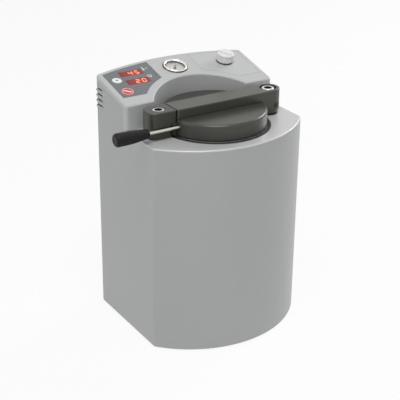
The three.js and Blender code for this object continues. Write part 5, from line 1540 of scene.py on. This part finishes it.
@dataclass
class Indicators:
    """Two digit displays, two keys, and the printed marks and lamps beside them."""

    centre_x: float = -77.0
    width: float = 38.0
    depth: float = 13.0
    cells: tuple[float, ...] = (-11.6, -0.6, 10.4)
    digit: tuple[float, float] = (5.4, 9.0)
    bar: float = 1.7
    slant: float = 0.12
    rows: tuple[tuple[str, str, float], ...] = (
        ("upper_display", " 45", 116.7), ("lower_display", " 20", 93.4))
    start: tuple[float, float, float] = (-107.3, 104.2, 7.5)
    stop: tuple[float, float, float] = (-106.8, 72.2, 9.5)
    stop_bearing: float = -38.0
    thermometer_at: tuple[float, float] = (-52.8, 122.8)
    clock_at: tuple[float, float] = (-52.8, 101.2)
    print_low: float = 0.05
    print_high: float = 0.14

    def build(self) -> None:
        """Makes the displays, the keys and the marks."""
        for node, text, y in self.rows:
            self.window(node, text, y)
        self.start_key()
        self.stop_key()
        self.marks()

    def window(self, node: str, text: str, y: float) -> None:
        """One display: its red window and its digits, lit and unlit.

        Args:
            node: The window's node.
            text: What it shows, a letter for each cell.
            y: Its plan position.
        """
        up = up_slope(y)
        middle = on_panel(np.array([self.centre_x + 4.5, up, 0.0]))
        filter_red = DisplayWindow(f"{node}_filter", "#7c120c", 0.16, ior=1.4, middle=tuple(middle))
        outline = eased(box_path(self.centre_x, up, self.width, self.depth), 0.7)
        surface = Surface().slab(outline, -3.0, 0.0, edge=0.25, lift=on_panel)
        settle(surface.piece(f"{node}_window", filter_red.material()), "unit", (node,))
        wide, tall = self.digit
        lit, unlit = [], []
        for letter, cell in zip(text, self.cells):
            for segment in Segment:
                ends = np.array(segment.value) * [wide, tall / 2]
                ends += [cell + self.centre_x - wide / 2, up - tall / 2]
                (lit if segment in DIGITS[letter] else unlit).append(ends)
        self.segments(f"{node}_digits", np.array(lit), up, LIT_DIGIT, 0.08)
        self.segments(f"{node}_unlit", np.array(unlit), up, UNLIT_DIGIT, 0.03)

    def segments(self, name: str, ends: Array, middle: float, finish: Finish, lift: float) -> None:
        """Segment bars as flat pointed lozenges round a centre line.

        Each bar's outline is its ends moved along and across the line by the half width; the
        attribute is 1 on the centre line and 0 on the outline.

        Args:
            name: The piece's name.
            ends: Both ends of every bar, across and up the slope.
            middle: Distance up the slope where the slant is nothing.
            finish: The bars' finish.
            lift: Height over the panel.
        """
        along = ends[:, 1] - ends[:, 0]
        along /= np.linalg.norm(along, axis=1, keepdims=True)
        across = np.stack([-along[:, 1], along[:, 0]], 1)[:, None]
        half = self.bar / 2
        which = np.array([0, 0, 1, 1, 1, 0, 0, 1])
        tip = np.array([0.15, 1, 1, 0.15, 1, 1, 1, 1]) * np.where(which == 0, half, -half)
        side = np.array([0, 1, 1, 0, -1, -1, 0, 0]) * half
        points = ends[:, which] + along[:, None] * tip[:, None] + across * side[:, None]
        points[..., 0] += (points[..., 1] - middle) * self.slant
        cell = np.array([[0, 6, 1, 1], [1, 6, 7, 2], [2, 7, 3, 3], [3, 7, 4, 4], [4, 7, 6, 5],
                         [5, 6, 0, 0]])
        faces = (np.arange(len(ends))[:, None, None] * 8 + cell).reshape(-1, 4)
        surface = Surface()
        surface.take(on_panel(np.concatenate([points, np.full((*points.shape[:2], 1), lift)], 2)))
        surface.faces = [list(dict.fromkeys(face)) for face in faces.tolist()]
        shade = np.tile([0, 0, 0, 0, 0, 0, 1, 1], len(ends))
        settle(surface.piece(name, finish.material(), shade=shade), "unit", slot="display_red")

    def key_cap(self, node: str, place: Place, radius: float, finish: Finish, body: str) -> None:
        """A moulded cap, slightly domed, on its wider flange.

        Args:
            node: The key's node.
            place: Carries the points to the key's place.
            radius: The cap's radius.
            finish: Its finish.
            body: The body that it rides on.
        """
        flange = radius + 1.2
        profile = open_eased([[0, 0.5], [radius - 1.6, 0.46], [radius, 0.2], [radius, -0.8],
                              [flange, -0.8], [flange, -2.2], [0, -2.2]], 0.35)
        made = Surface().turned(profile, place, 64).piece(f"{node}_cap", finish.material())
        settle(made, body, (node,))

    def start_key(self) -> None:
        """White key with a small dark triangle."""
        x, y, radius = self.start
        self.key_cap("start_button", panel_at(x, y), radius, WHITE_KEY, "start_key")
        triangle = eased(np.array([[-1.5, -2.1], [2.1, 0.0], [-1.5, 2.1]]), 0.5)
        surface = Surface().slab(triangle, 0.4, 0.53, lift=panel_at(x, y))
        made = surface.piece("start_key_mark", DARK_INK.material())
        settle(made, "start_key", slot="black_plastic")

    def stop_key(self) -> None:
        """Red key with a white outline and a slanting white bar."""
        x, y, radius = self.stop
        place = panel_at(x, y)
        self.key_cap("stop_button", place, radius, RED_KEY, "stop_key")
        bar = spun(eased(box_path(0, 0, 12.4, 2.6), 0.6), self.stop_bearing)
        surface = Surface().slab(bar, 0.4, 0.53, lift=place)
        outer, inner = (circle(0, 0, radius - less, 64) for less in (0.7, 1.5))
        surface.slab(outer, 0.2, 0.5, holes=(inner,), lift=place)
        settle(surface.piece("stop_key_mark", WHITE_INK.material()), "stop_key", slot="key_white")

    def marks(self) -> None:
        """Thermometer and clock marks with a lamp each."""
        flat = (self.print_low, self.print_high)
        surface = Surface()
        place = panel_at(*self.thermometer_at)
        surface.slab(eased(box_path(0, 1.6, 1.5, 7.0), 0.7), *flat, lift=place)
        surface.slab(circle(0, -3.0, 1.7, 24), *flat, lift=place)
        place = panel_at(*self.clock_at)
        surface.slab(circle(0, 0, 3.7), *flat, holes=(circle(0, 0, 2.75),), lift=place)
        hands = [[-0.4, -0.4], [1.7, -0.4], [1.7, 0.4], [0.4, 0.4], [0.4, 2.2], [-0.4, 2.2]]
        surface.slab(np.array(hands), *flat, lift=place)
        settle(surface.piece("panel_marks", WHITE_INK.material()), "unit", slot="key_white")
        dome = [[0, 0.5], [0.9, 0.42], [1.3, 0.1], [1.3, 0.0], [0, 0.0]]
        for name, x, y, finish in (("degrees_lamp", -46.8, 123.1, WHITE_KEY),
                                   ("minutes_lamp", -42.2, 101.2, DARK_LENS)):
            made = Surface().turned(dome, panel_at(x, y, 0.1), 24).piece(name, finish.material())
            settle(made, "unit", slot="display_red")


@dataclass
class Gauge:
    """Pressure gauge: chrome bezel, dark case, printed dial, needle and pane."""

    dial: float = -3.4
    zero: float = 225.0
    full: float = -45.0
    bearing: float = 55.0
    numbers: int = 6
    ticks_each: int = 5
    number_radius: float = 9.1
    number_size: float = 3.5
    scale_radius: float = 14.5
    place: Place = field(default_factory=lambda: panel_at(0.0, GAUGE_Y))

    def build(self) -> None:
        """Makes the gauge's pieces."""
        rim = [[15.3, 0.3], [18.7, 0.3], [18.7, 1.9], [17.9, 2.9], [16.8, 2.9], [15.3, 1.4]]
        ring("gauge_bezel_ring", CHROME_RING, rim, 0.6, self.place, 128, nodes=("gauge_bezel",))
        # This black ring round the bezel stands in for the shade at its outer edge: painted shade.
        flange = [[16.6, 0.05], [20.0, 0.05], [20.0, 0.8], [16.6, 0.8]]
        ring("gauge_shade_ring", NITRILE, flange, 0.3, self.place, slot="black_plastic")
        # The case's black inner wall is partly its own colour, partly painted shade inside the
        # bezel.
        recast("gauge_case", BLACK_CASE.material())
        plate = Surface().slab(circle(0, 0, 16.6, 96), self.dial - 0.6, self.dial,
                               holes=(circle(0, 0, 1.1, 24),), lift=self.place)
        settle(plate.piece("gauge_dial_plate", DIAL_PAINT.material()), "unit", ("gauge_dial",))
        self.scale()
        self.needle()
        pane = open_eased([[0, 0.0], [8.0, -0.08], [15.8, -0.35], [16.6, -0.6], [16.6, -1.3],
                           [0, -1.3]], 0.2)
        glass = Surface().turned(pane, self.place, 64)
        settle(glass.piece("gauge_pane", PANE.material()), "unit", ("gauge_glass",))

    def scale(self) -> None:
        """Printed ticks, a scale arc and the numbers: a tick is a radial bar between two radii."""
        count = self.numbers * self.ticks_each
        angle = np.radians(np.linspace(self.zero, self.full, count + 1))
        major = np.arange(count + 1) % self.ticks_each == 0
        inner = np.where(major, 11.7, 13.0)[:, None]
        half = np.where(major, 0.3, 0.14)[:, None]
        out = np.stack([np.cos(angle), np.sin(angle)], 1)
        side = np.stack([-out[:, 1], out[:, 0]], 1) * half
        near, far = out * inner, out * self.scale_radius
        corners = np.stack([near + side, near - side, far - side, far + side], 1).reshape(-1, 2)
        height = self.dial + 0.03
        surface = Surface()
        surface.take(self.place(raised(corners, height)))
        surface.faces = np.arange(4 * (count + 1)).reshape(-1, 4).tolist()
        bow = np.stack([raised(arc(0, 0, radius, angle[0], angle[-1], 90), height)
                        for radius in (self.scale_radius + 0.25, self.scale_radius)])
        surface.band(self.place(bow), closed=False)
        for number in range(self.numbers + 1):
            self.number(surface, number)
        made = surface.piece("gauge_scale", DARK_INK.material(), shade=np.zeros(surface.count))
        settle(made, "unit", slot="black_plastic")

    def number(self, surface: Surface, number: int) -> None:
        """Sets a number's flat outline on the dial, centred at its bearing.

        Args:
            surface: Takes the outline.
            number: The number.
        """
        bearing = math.radians(self.zero + (self.full - self.zero) * number / self.numbers)
        curve = bpy.data.curves.new(f"number_{number}", "FONT")
        curve.body, curve.size, curve.resolution_u = str(number), self.number_size, 3
        curve.align_x, curve.align_y = "CENTER", "CENTER"
        carrier = linked(f"number_{number}", curve)
        bpy.context.view_layer.update()
        evaluated = carrier.evaluated_get(bpy.context.evaluated_depsgraph_get())
        mesh = bpy.data.meshes.new_from_object(evaluated)
        x, y = self.number_radius * math.cos(bearing), self.number_radius * math.sin(bearing)
        first = surface.take(self.place(read(mesh.vertices, "co") + [x, y, self.dial + 0.04]))
        surface.faces += [[first + v for v in face.vertices] for face in mesh.polygons]
        bpy.data.objects.remove(carrier)
        bpy.data.meshes.remove(mesh)

    def needle(self) -> None:
        """The pointer: a tapered blade with a stub behind, and a domed hub on the spindle."""
        low, high = self.dial + 0.3, self.dial + 0.9
        blade = [[-4, -1.3], [0, -1.3], [10.5, -0.4], [10.5, 0.4], [0, 1.3], [-4, 1.3]]
        turned = spun(np.array(blade), self.bearing)
        surface = Surface().slab(eased(turned, 0.25), low, high, edge=0.08, lift=self.place)
        hub = [[0, high + 0.9], [1.9, high + 0.8], [2.5, high + 0.2], [2.5, low], [0, low]]
        surface.turned(open_eased(hub, 0.25), self.place, 32)
        settle(surface.piece("gauge_pointer", NEEDLE_PAINT.material()), "needle", ("gauge_needle",))


@dataclass
class AirKnob:
    """Milk-white ribbed knob on its dark ring, over the regulator; the ring's dark grey is partly
    painted shade under the knob.
    """

    radius: float = 13.5
    base: float = 2.2
    height: float = 14.5
    ribs: int = 24
    rib_depth: float = 0.8
    crown: float = 1.5
    ridge_bearing: float = 36.0
    place: Place = field(default_factory=lambda: panel_at(*KNOB_XY))

    def build(self) -> None:
        """Makes the knob, its ring and the regulator."""
        section = [[4.0, 0.3], [13.2, 0.3], [13.2, 1.9], [4.0, 1.9]]
        # The collar's dark grey is partly its own colour, partly painted shade under the knob.
        ring("knob_collar", COLLAR_AND_SHADE, section, 0.4, self.place, nodes=("knob_ring",))
        self.knob()
        recast("regulator_body", BARE_ALUMINIUM.material())

    def knob(self) -> None:
        """The knob and the ridge over it.

        Its radius is the profile's less a valley between ribs, ((1 - cos(ribs * angle)) / 2)^1.5,
        which fades at both ends.
        """
        r, low, top = self.radius, self.base, self.base + self.height - self.crown
        profile = np.array([
            [0, low], [r - 0.9, low], [r, low + 0.9], [r, low + 2.5], [r, low + 5], [r, top - 4.4],
            [r, top - 2.8], [r - 0.03, top - 1.9], [r - 0.18, top - 1.1], [r - 0.6, top - 0.45],
            [r - 1.2, top - 0.1], [r - 2.0, top], [r - 2.7, top - 0.05], [r - 3.3, top - 0.4],
            [0, top - 0.45]])
        fade = np.array([0, 0, 0.8, 1, 1, 1, 0.9, 0.5, 0.15, 0, 0, 0, 0, 0, 0])[:, None]
        angle = np.linspace(0, math.tau, self.ribs * 10, endpoint=False)
        valley = ((1 - np.cos(self.ribs * angle)) / 2) ** 1.5
        radius = profile[:, :1] - self.rib_depth * fade * valley
        rings = self.place(round_rings(radius, profile[:, 1:], angle))
        material = MILK_KNOB.material()
        made = Surface().band(rings).piece("air_knob", material, angle=60)
        settle(made, "knob", ("regulator_knob",))
        ridge = spun(eased(box_path(0, 0, 3.2, 25.4), 1.5), self.ridge_bearing)
        made = Surface().slab(ridge, top - 1.2, top + self.crown - 0.02, edge=0.6, lift=self.place)
        settle(made.piece("air_knob_ridge", material), "knob", slot="knob_white")


@dataclass
class Closure:
    """Lid, bar with its pivot, catch block, bolts, and the lever."""

    lid_radius: float = 79.0
    lid_low: float = DECK + 2.3
    lid_top: float = DECK + 26.0
    lid_edge: float = 4.0
    lid_shoulder: float = 2.0
    channel_floor: float = DECK + 12.0
    half_channel: float = 18.3
    bar_half: float = 18.0
    bar_low: float = DECK + 12.3
    bar_top: float = DECK + 40.0
    bar_edge: float = 1.5
    bar_reach: float = 171.5
    nose_half: float = 17.9
    nose_reach: float = 180.4
    hook: float = DECK + 20.9
    catch_left: float = -118.1
    catch_right: float = -76.0
    catch_mouth: float = -85.2
    catch_front_corner: float = 11.0
    catch_rear_corner: float = 16.0
    bolt_foot: float = 302.5
    socket_flat: float = 5.0
    lever_y: float = -22.3
    lever_z: float = DECK + 15.3
    rod_start: float = -62.0
    rod_radius: float = 2.5
    rod_length: float = 103.5
    grip_start: float = -125.5
    grip_length: float = 54.5
    grip_end: float = 4.0
    grip_stations: tuple[float, ...] = (0.025, 0.06, 0.12, 0.22, 0.34, 0.45, 0.66, 0.8, 0.92)
    grip_radii: tuple[float, ...] = (6.75, 7.15, 7.6, 8.2, 8.95, 9.5, 9.95, 10.05, 10.1)

    def build(self) -> None:
        """Makes every closure piece."""
        self.lid(LID_ANODISED.material())
        self.bar(BAR_ANODISED.material())
        self.catch(BLOCK_ANODISED.material())
        finishes = BOLT_STEEL.material(), SOCKET_SHADE.material()
        self.bolt("catch_bolt", -PIVOT_X, 9.0, 6.0, finishes)
        self.bolt("pivot_bolt", PIVOT_X, 9.8, 8.0, finishes)
        washer = [[8.3, 330.3], [16.5, 330.3], [16.5, 332.7], [8.3, 332.7]]
        ring("pivot_slide_ring", BLACK_NYLON, washer, 0.6, self.about_pivot,
             nodes=("pivot_washer",))
        recast("pivot_bush", TURNED_BRASS.material())
        for name in ("lid_screw_left", "lid_screw_right", "catch_nut", "pivot_nut"):
            recast(name, PLAIN_STEEL.material())
        self.lever()

    def about_pivot(self, points: Array) -> Array:
        """Points about the pivot's axis, carried to it."""
        return np.asarray(points, float) + [PIVOT_X, 0.0, 0.0]

    def half_moon(self, chord: float, radius: float, rim: float, shoulder: float) -> Array:
        """A ring round the lid's front segment: an arc cut by a chord.

        Args:
            chord: The chord's distance from the lid's middle.
            radius: The arc's radius.
            rim: Height of the arc.
            shoulder: Height of the chord.

        Returns:
            The closed ring, its corners rounded.
        """
        start = math.asin(chord / radius)
        bow = raised(arc(0, 0, radius, HALF_TURN + start, math.tau - start, 72), rim)
        bow[[0, -1], 2] = (rim + shoulder) / 2
        ends = np.array([[bow[-1, 0], -chord], [bow[0, 0], -chord]]) * [0.9, 1]
        return eased(np.concatenate([bow, raised(ends, shoulder)]), 1.6, steps=7, least=0.5)

    def lid(self, material: bpy.types.Material) -> None:
        """The lid's two raised segments and the floor of the channel between them.

        Each segment's rim and its shoulder on the bar are rounded: ring by ring, the arc's
        radius and the chord move by their own quarter rounds.

        Args:
            material: The lid's finish.
        """
        chord, radius, low = self.half_channel, self.lid_radius, self.lid_low
        rounds = zip(quarter(self.lid_edge, 9), quarter(self.lid_shoulder, 9))
        half = [self.half_moon(chord + back, radius - rim, self.lid_top - fall, self.lid_top - drop)
                for (rim, fall), (back, drop) in rounds]
        half.append(self.half_moon(chord, radius, low + 0.5, low + 0.5))
        half.append(self.half_moon(chord + 0.5, radius - 0.5, low, low))
        for name, sign in (("front", 1), ("rear", -1)):
            rings = np.stack(half) * [1, sign, 1]
            surface = Surface().band(rings).fill(rings[0], []).fill(rings[-1], [])
            made = surface.piece(f"lid_{name}_segment", material, angle=50)
            settle(made, "lid_assembly", ("chamber_lid",))
        notch = arc(PIVOT_X, 0, 18.8, math.radians(256), math.radians(104), 13)
        floor = np.concatenate([[[-69.7, -18.28], [77, -18.28]], notch[notch[:, 0] < 79],
                                [[77, 18.28], [-69.7, 18.28]]])
        surface = Surface().slab(floor, low, self.channel_floor)
        settle(surface.piece("lid_channel_floor", material), "lid_assembly", ("chamber_lid",))

    def bar(self, material: bpy.types.Material) -> None:
        """The bar with its counterbore, a leg at the pivot and a nose for the catch.

        It is round at the pivot, and its free end is an arc about the pivot.

        Args:
            material: The bar's finish.
        """
        half = self.bar_half

        def end(width: float, radius: float) -> Array:
            """The free end: an arc about the pivot, as wide as the bar."""
            spread = math.asin(width / radius)
            return arc(PIVOT_X, 0, radius, HALF_TURN - spread, HALF_TURN + spread, 9)

        plan = np.concatenate([arc(PIVOT_X, 0, half, -QUARTER, QUARTER, 37),
                               end(half, self.bar_reach)])
        surface = Surface().slab(eased(plan, 2.4), self.bar_low, self.bar_top, edge=self.bar_edge,
                                 holes=(circle(PIVOT_X, 0, 13.0, 72),), hole_edge=0.6)
        leg = eased(np.array([[10.3, 333.0], [16.2, 333.0], [half, 338.0], [half, self.bar_low],
                              [half, 350.0], [13.2, 350.0], [10.3, 350.0]]), 0.5)
        surface.turned(leg[:-1], self.about_pivot, 72, loop=True)
        nose = self.nose_half
        plan = np.concatenate([[[-70.0, -nose], [-70.0, nose]], end(nose, self.nose_reach)])
        surface.slab(plan, self.lid_low, self.hook - 0.3)
        settle(surface.piece("yoke_bar", material), "lid_assembly", ("lid_arm",))

    def catch(self, material: bpy.types.Material) -> None:
        """The catch block: a rounded body and the hook that reaches over the bar's nose.

        Args:
            material: The block's finish.
        """
        left, half = self.catch_left, self.bar_half
        front, rear = self.catch_front_corner, self.catch_rear_corner

        def outline(end: float, corner: float) -> Array:
            """Plan of the block.

            Args:
                end: Its right end.
                corner: Radius of the corners there.

            Returns:
                The closed path.
            """
            return np.concatenate([
                arc(left + front, -half + front, front, HALF_TURN, THREE_QUARTERS, 14),
                arc(end - corner, -half + corner, corner, THREE_QUARTERS, math.tau, 6),
                arc(end - corner, half - corner, corner, 0, QUARTER, 6),
                arc(left + rear, half - rear, rear, QUARTER, HALF_TURN, 18)])

        surface = Surface().slab(outline(self.catch_mouth, 0.4), DECK + 0.3, self.hook)
        surface.slab(outline(self.catch_right, 3.0), self.hook, self.bar_top, edge=self.bar_edge,
                     holes=(circle(-PIVOT_X, 0, 9.3, 72),), hole_edge=0.5)
        settle(surface.piece("catch_body", material), "unit", ("catch_block",))

    def bolt(self, node: str, x: float, head: float, shank: float,
             finishes: tuple[bpy.types.Material, bpy.types.Material]) -> None:
        """A socket-head bolt: rings run up the head, over its rim and down into the hexagon.

        The hexagon's radius is the half width over its flats / cos(bearing from the flat).

        Args:
            node: The bolt's node.
            x: Where it stands.
            head: Radius of the head.
            shank: Radius of the shank.
            finishes: The steel's, and the dark one painted in the socket as shade.
        """
        top, low = self.bar_top - 0.6, self.bolt_foot
        under = top - 12
        angle = np.linspace(0, math.tau, 72, endpoint=False)
        hexagon = self.socket_flat / np.cos((angle % (math.pi / 3)) - math.pi / 6)
        stations = [(0.0, low), (shank * 0.9, low), (shank, low + 1), (shank, under), (head, under),
                    *[(head - across, top - drop) for across, drop in quarter(1.0)[::-1]],
                    (6.1, top), (hexagon, top - 0.5), (hexagon, top - 7.0), (0.0, top - 8.0)]
        radius = np.stack([far + 0 * angle for far, _ in stations])
        height = np.array([[level] for _, level in stations])
        surface = Surface().band(round_rings(radius, height, angle) + [x, 0, 0])
        made = surface.piece(f"{node}_head", finishes[0], angle=28)
        made.data.materials.append(finishes[1])
        right, back, z = (read(made.data.polygons, "center") / MM - ORIGIN - [x, 0, 0]).T
        # The faces deep in the hexagon take the dark finish: painted shade in the recess.
        socket = (np.hypot(right, back) < 6.0) & (z > top - 9) & (z < top - 0.1)
        made.data.polygons.foreach_set("material_index", socket.astype(np.int32))
        settle(made, "unit", (node,))

    def along_lever(self, start: float) -> Place:
        """The lever's own frame: its third axis points left from a start x."""
        return lambda p: np.stack([start - p[..., 2], self.lever_y + p[..., 1],
                                   self.lever_z + p[..., 0]], -1)

    def lever(self) -> None:
        """The drawn rod and the moulded grip, its radius a smooth curve through its stations."""
        radius, length = self.rod_radius, self.rod_length
        rod = open_eased([[0, 0], [radius, 0], [radius, length], [0, length]], 0.4)
        made = Surface().turned(rod, self.along_lever(self.rod_start), 48)
        settle(made.piece("lever_shaft", ROD_STEEL.material()), "lid_assembly", ("lever_rod",))
        long, fall = self.grip_length, self.grip_end
        station = np.array(self.grip_stations) * long
        shape = np.polynomial.Polynomial.fit(station, np.array(self.grip_radii), 5)
        along = np.linspace(station[0], long - fall, 26)
        last = shape(along)[-1]
        end = [[last - fall * (1 - math.cos(a)), long - fall + fall * math.sin(a)]
               for a in np.linspace(0.2, QUARTER, 8)]
        profile = np.concatenate([
            [[2.8, 0.0], [5.3, 0.0], [6.2, 0.4]], np.stack([shape(along), along], 1), end,
            [[3.4, long], [2.6, long - 0.4], [0.0, long - 0.5]]])
        place = self.along_lever(self.grip_start)
        grip = Surface().turned(profile, place)
        grip.turned([[2.8, 0.0], [2.8, 40.0], [0.0, 40.0]], place)
        made = grip.piece("lever_handle", BLACK_NYLON.material())
        settle(made, "lid_assembly", ("lever_grip",))


@dataclass
class Chamber:
    """The pot and what stands round it."""

    seal: tuple[tuple[float, float], ...] = (
        (72.3, 327.3), (76.7, 327.3), (76.7, 329.8), (75.6, 332.0), (73.4, 332.0), (72.3, 329.8))
    trim: tuple[tuple[float, float], ...] = (
        (79.3, 328.0), (84.7, 328.0), (84.7, 330.0), (79.3, 330.0))

    def build(self) -> None:
        """Makes the seal and the ring round the opening, and dresses the pot's solids."""
        ring("lid_seal_ring", NITRILE, self.seal, 0.7, count=120, nodes=("lid_seal",))
        ring("opening_ring", NITRILE, self.trim, 0.6, count=120, nodes=("opening_trim",))
        recast("pressure_vessel", BARE_ALUMINIUM.material(), angle=50)
        for name, finish in (("yoke_plate", PLAIN_STEEL), ("heater_band", PLAIN_STEEL),
                             ("insulation_jacket", FELT), ("vessel_stand", ZINC_SHEET),
                             ("temperature_sensor", PLAIN_STEEL)):
            recast(name, finish.material())


@dataclass
class RearFittings:
    """Inlet, switch, air fittings and screws on the rear panel."""

    switch_x: float = -45.0
    switch_z: float = 46.0
    tilt: float = 10.0
    face_rise: float = 3.1
    face_middle: float = 5.9
    face_slope: float = math.atan2(1.0, 10.9)

    def build(self) -> None:
        """Dresses the rear fittings."""
        black, brass, steel = (f.material() for f in (BLACK_CASE, TURNED_BRASS, BOLT_STEEL))
        recast("mains_inlet", black, soft=0.5)
        recast("switch_frame", black, soft=0.4)
        recast("power_switch", BLACK_NYLON.material(), soft=0.4)
        recast("air_inlet_nipple", brass, soft=0.25)
        recast("exhaust_silencer", brass, soft=0.2)
        for side in ("left", "right"):
            for level in ("lower", "upper"):
                recast(f"rear_screw_{level}_{side}", steel, soft=0.15)
        self.switch_marks()

    def on_face(self, sign: int) -> Place:
        """A rocker face's frame: turned with the rocker's tilt and the face's own slope.

        Args:
            sign: 1 for the upper face, -1 for the lower one.

        Returns:
            The carrier of points from the face to the assembly.
        """
        panel = on_rear(self.switch_x, self.switch_z)

        def carried(points: Array) -> Array:
            """Carries points of the face by two turns about lines along the rocker's axis.

            Args:
                points: Across, up the face and square to it.

            Returns:
                The points as x, y and z.
            """
            x, up, out = np.moveaxis(np.asarray(points, float), -1, 0)
            for angle, middle, rise in ((sign * self.face_slope, sign * self.face_middle,
                                         self.face_rise), (math.radians(self.tilt), 0.0, 0.0)):
                cos, sin = math.cos(angle), math.sin(angle)
                up, out = middle + up * cos - out * sin, rise + up * sin + out * cos
            return panel(np.stack([x, up, out], -1))

        return carried

    def switch_marks(self) -> None:
        """The on bar and the off ring, moulded on the rocker's two faces."""
        surface = Surface().slab(box_path(0, 0, 0.9, 3.8), 0.0, 0.2, lift=self.on_face(1))
        surface.slab(circle(0, 0, 1.9, 32), 0.0, 0.2, holes=(circle(0, 0, 1.2, 32),),
                     lift=self.on_face(-1))
        settle(surface.piece("rocker_marks", WHITE_INK.material()), "rocker", slot="key_white")


@dataclass
class Inside:
    """Valves, supply tube, transformer and board inside the casing."""

    def build(self) -> None:
        """Dresses the inside fittings."""
        brass = TURNED_BRASS.material()
        for name in ("inlet_valve", "exhaust_valve", "safety_valve"):
            recast(name, brass, soft=0.4)
        recast("transformer", ZINC_SHEET.material(), soft=0.5)
        recast("control_board", BOARD.material(), soft=0.2)
        recast("supply_tube", AIR_TUBE.material(), angle=60)


def main() -> None:
    """Loads the frame and builds every sub-assembly in order."""
    logging.basicConfig(level=logging.INFO, format="%(name)s: %(message)s")
    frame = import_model()
    SLOTS.update({part["node"]: part["material_slot"] for part in frame["record"]["subparts"]})
    for assembly in (Studio(), Casing(), Console(), Indicators(), Gauge(), AirKnob(), Closure(),
                     Chamber(), RearFittings(), Inside()):
        LOG.info("building %s", type(assembly).__name__)
        assembly.build()


if __name__ == "__main__":
    main()
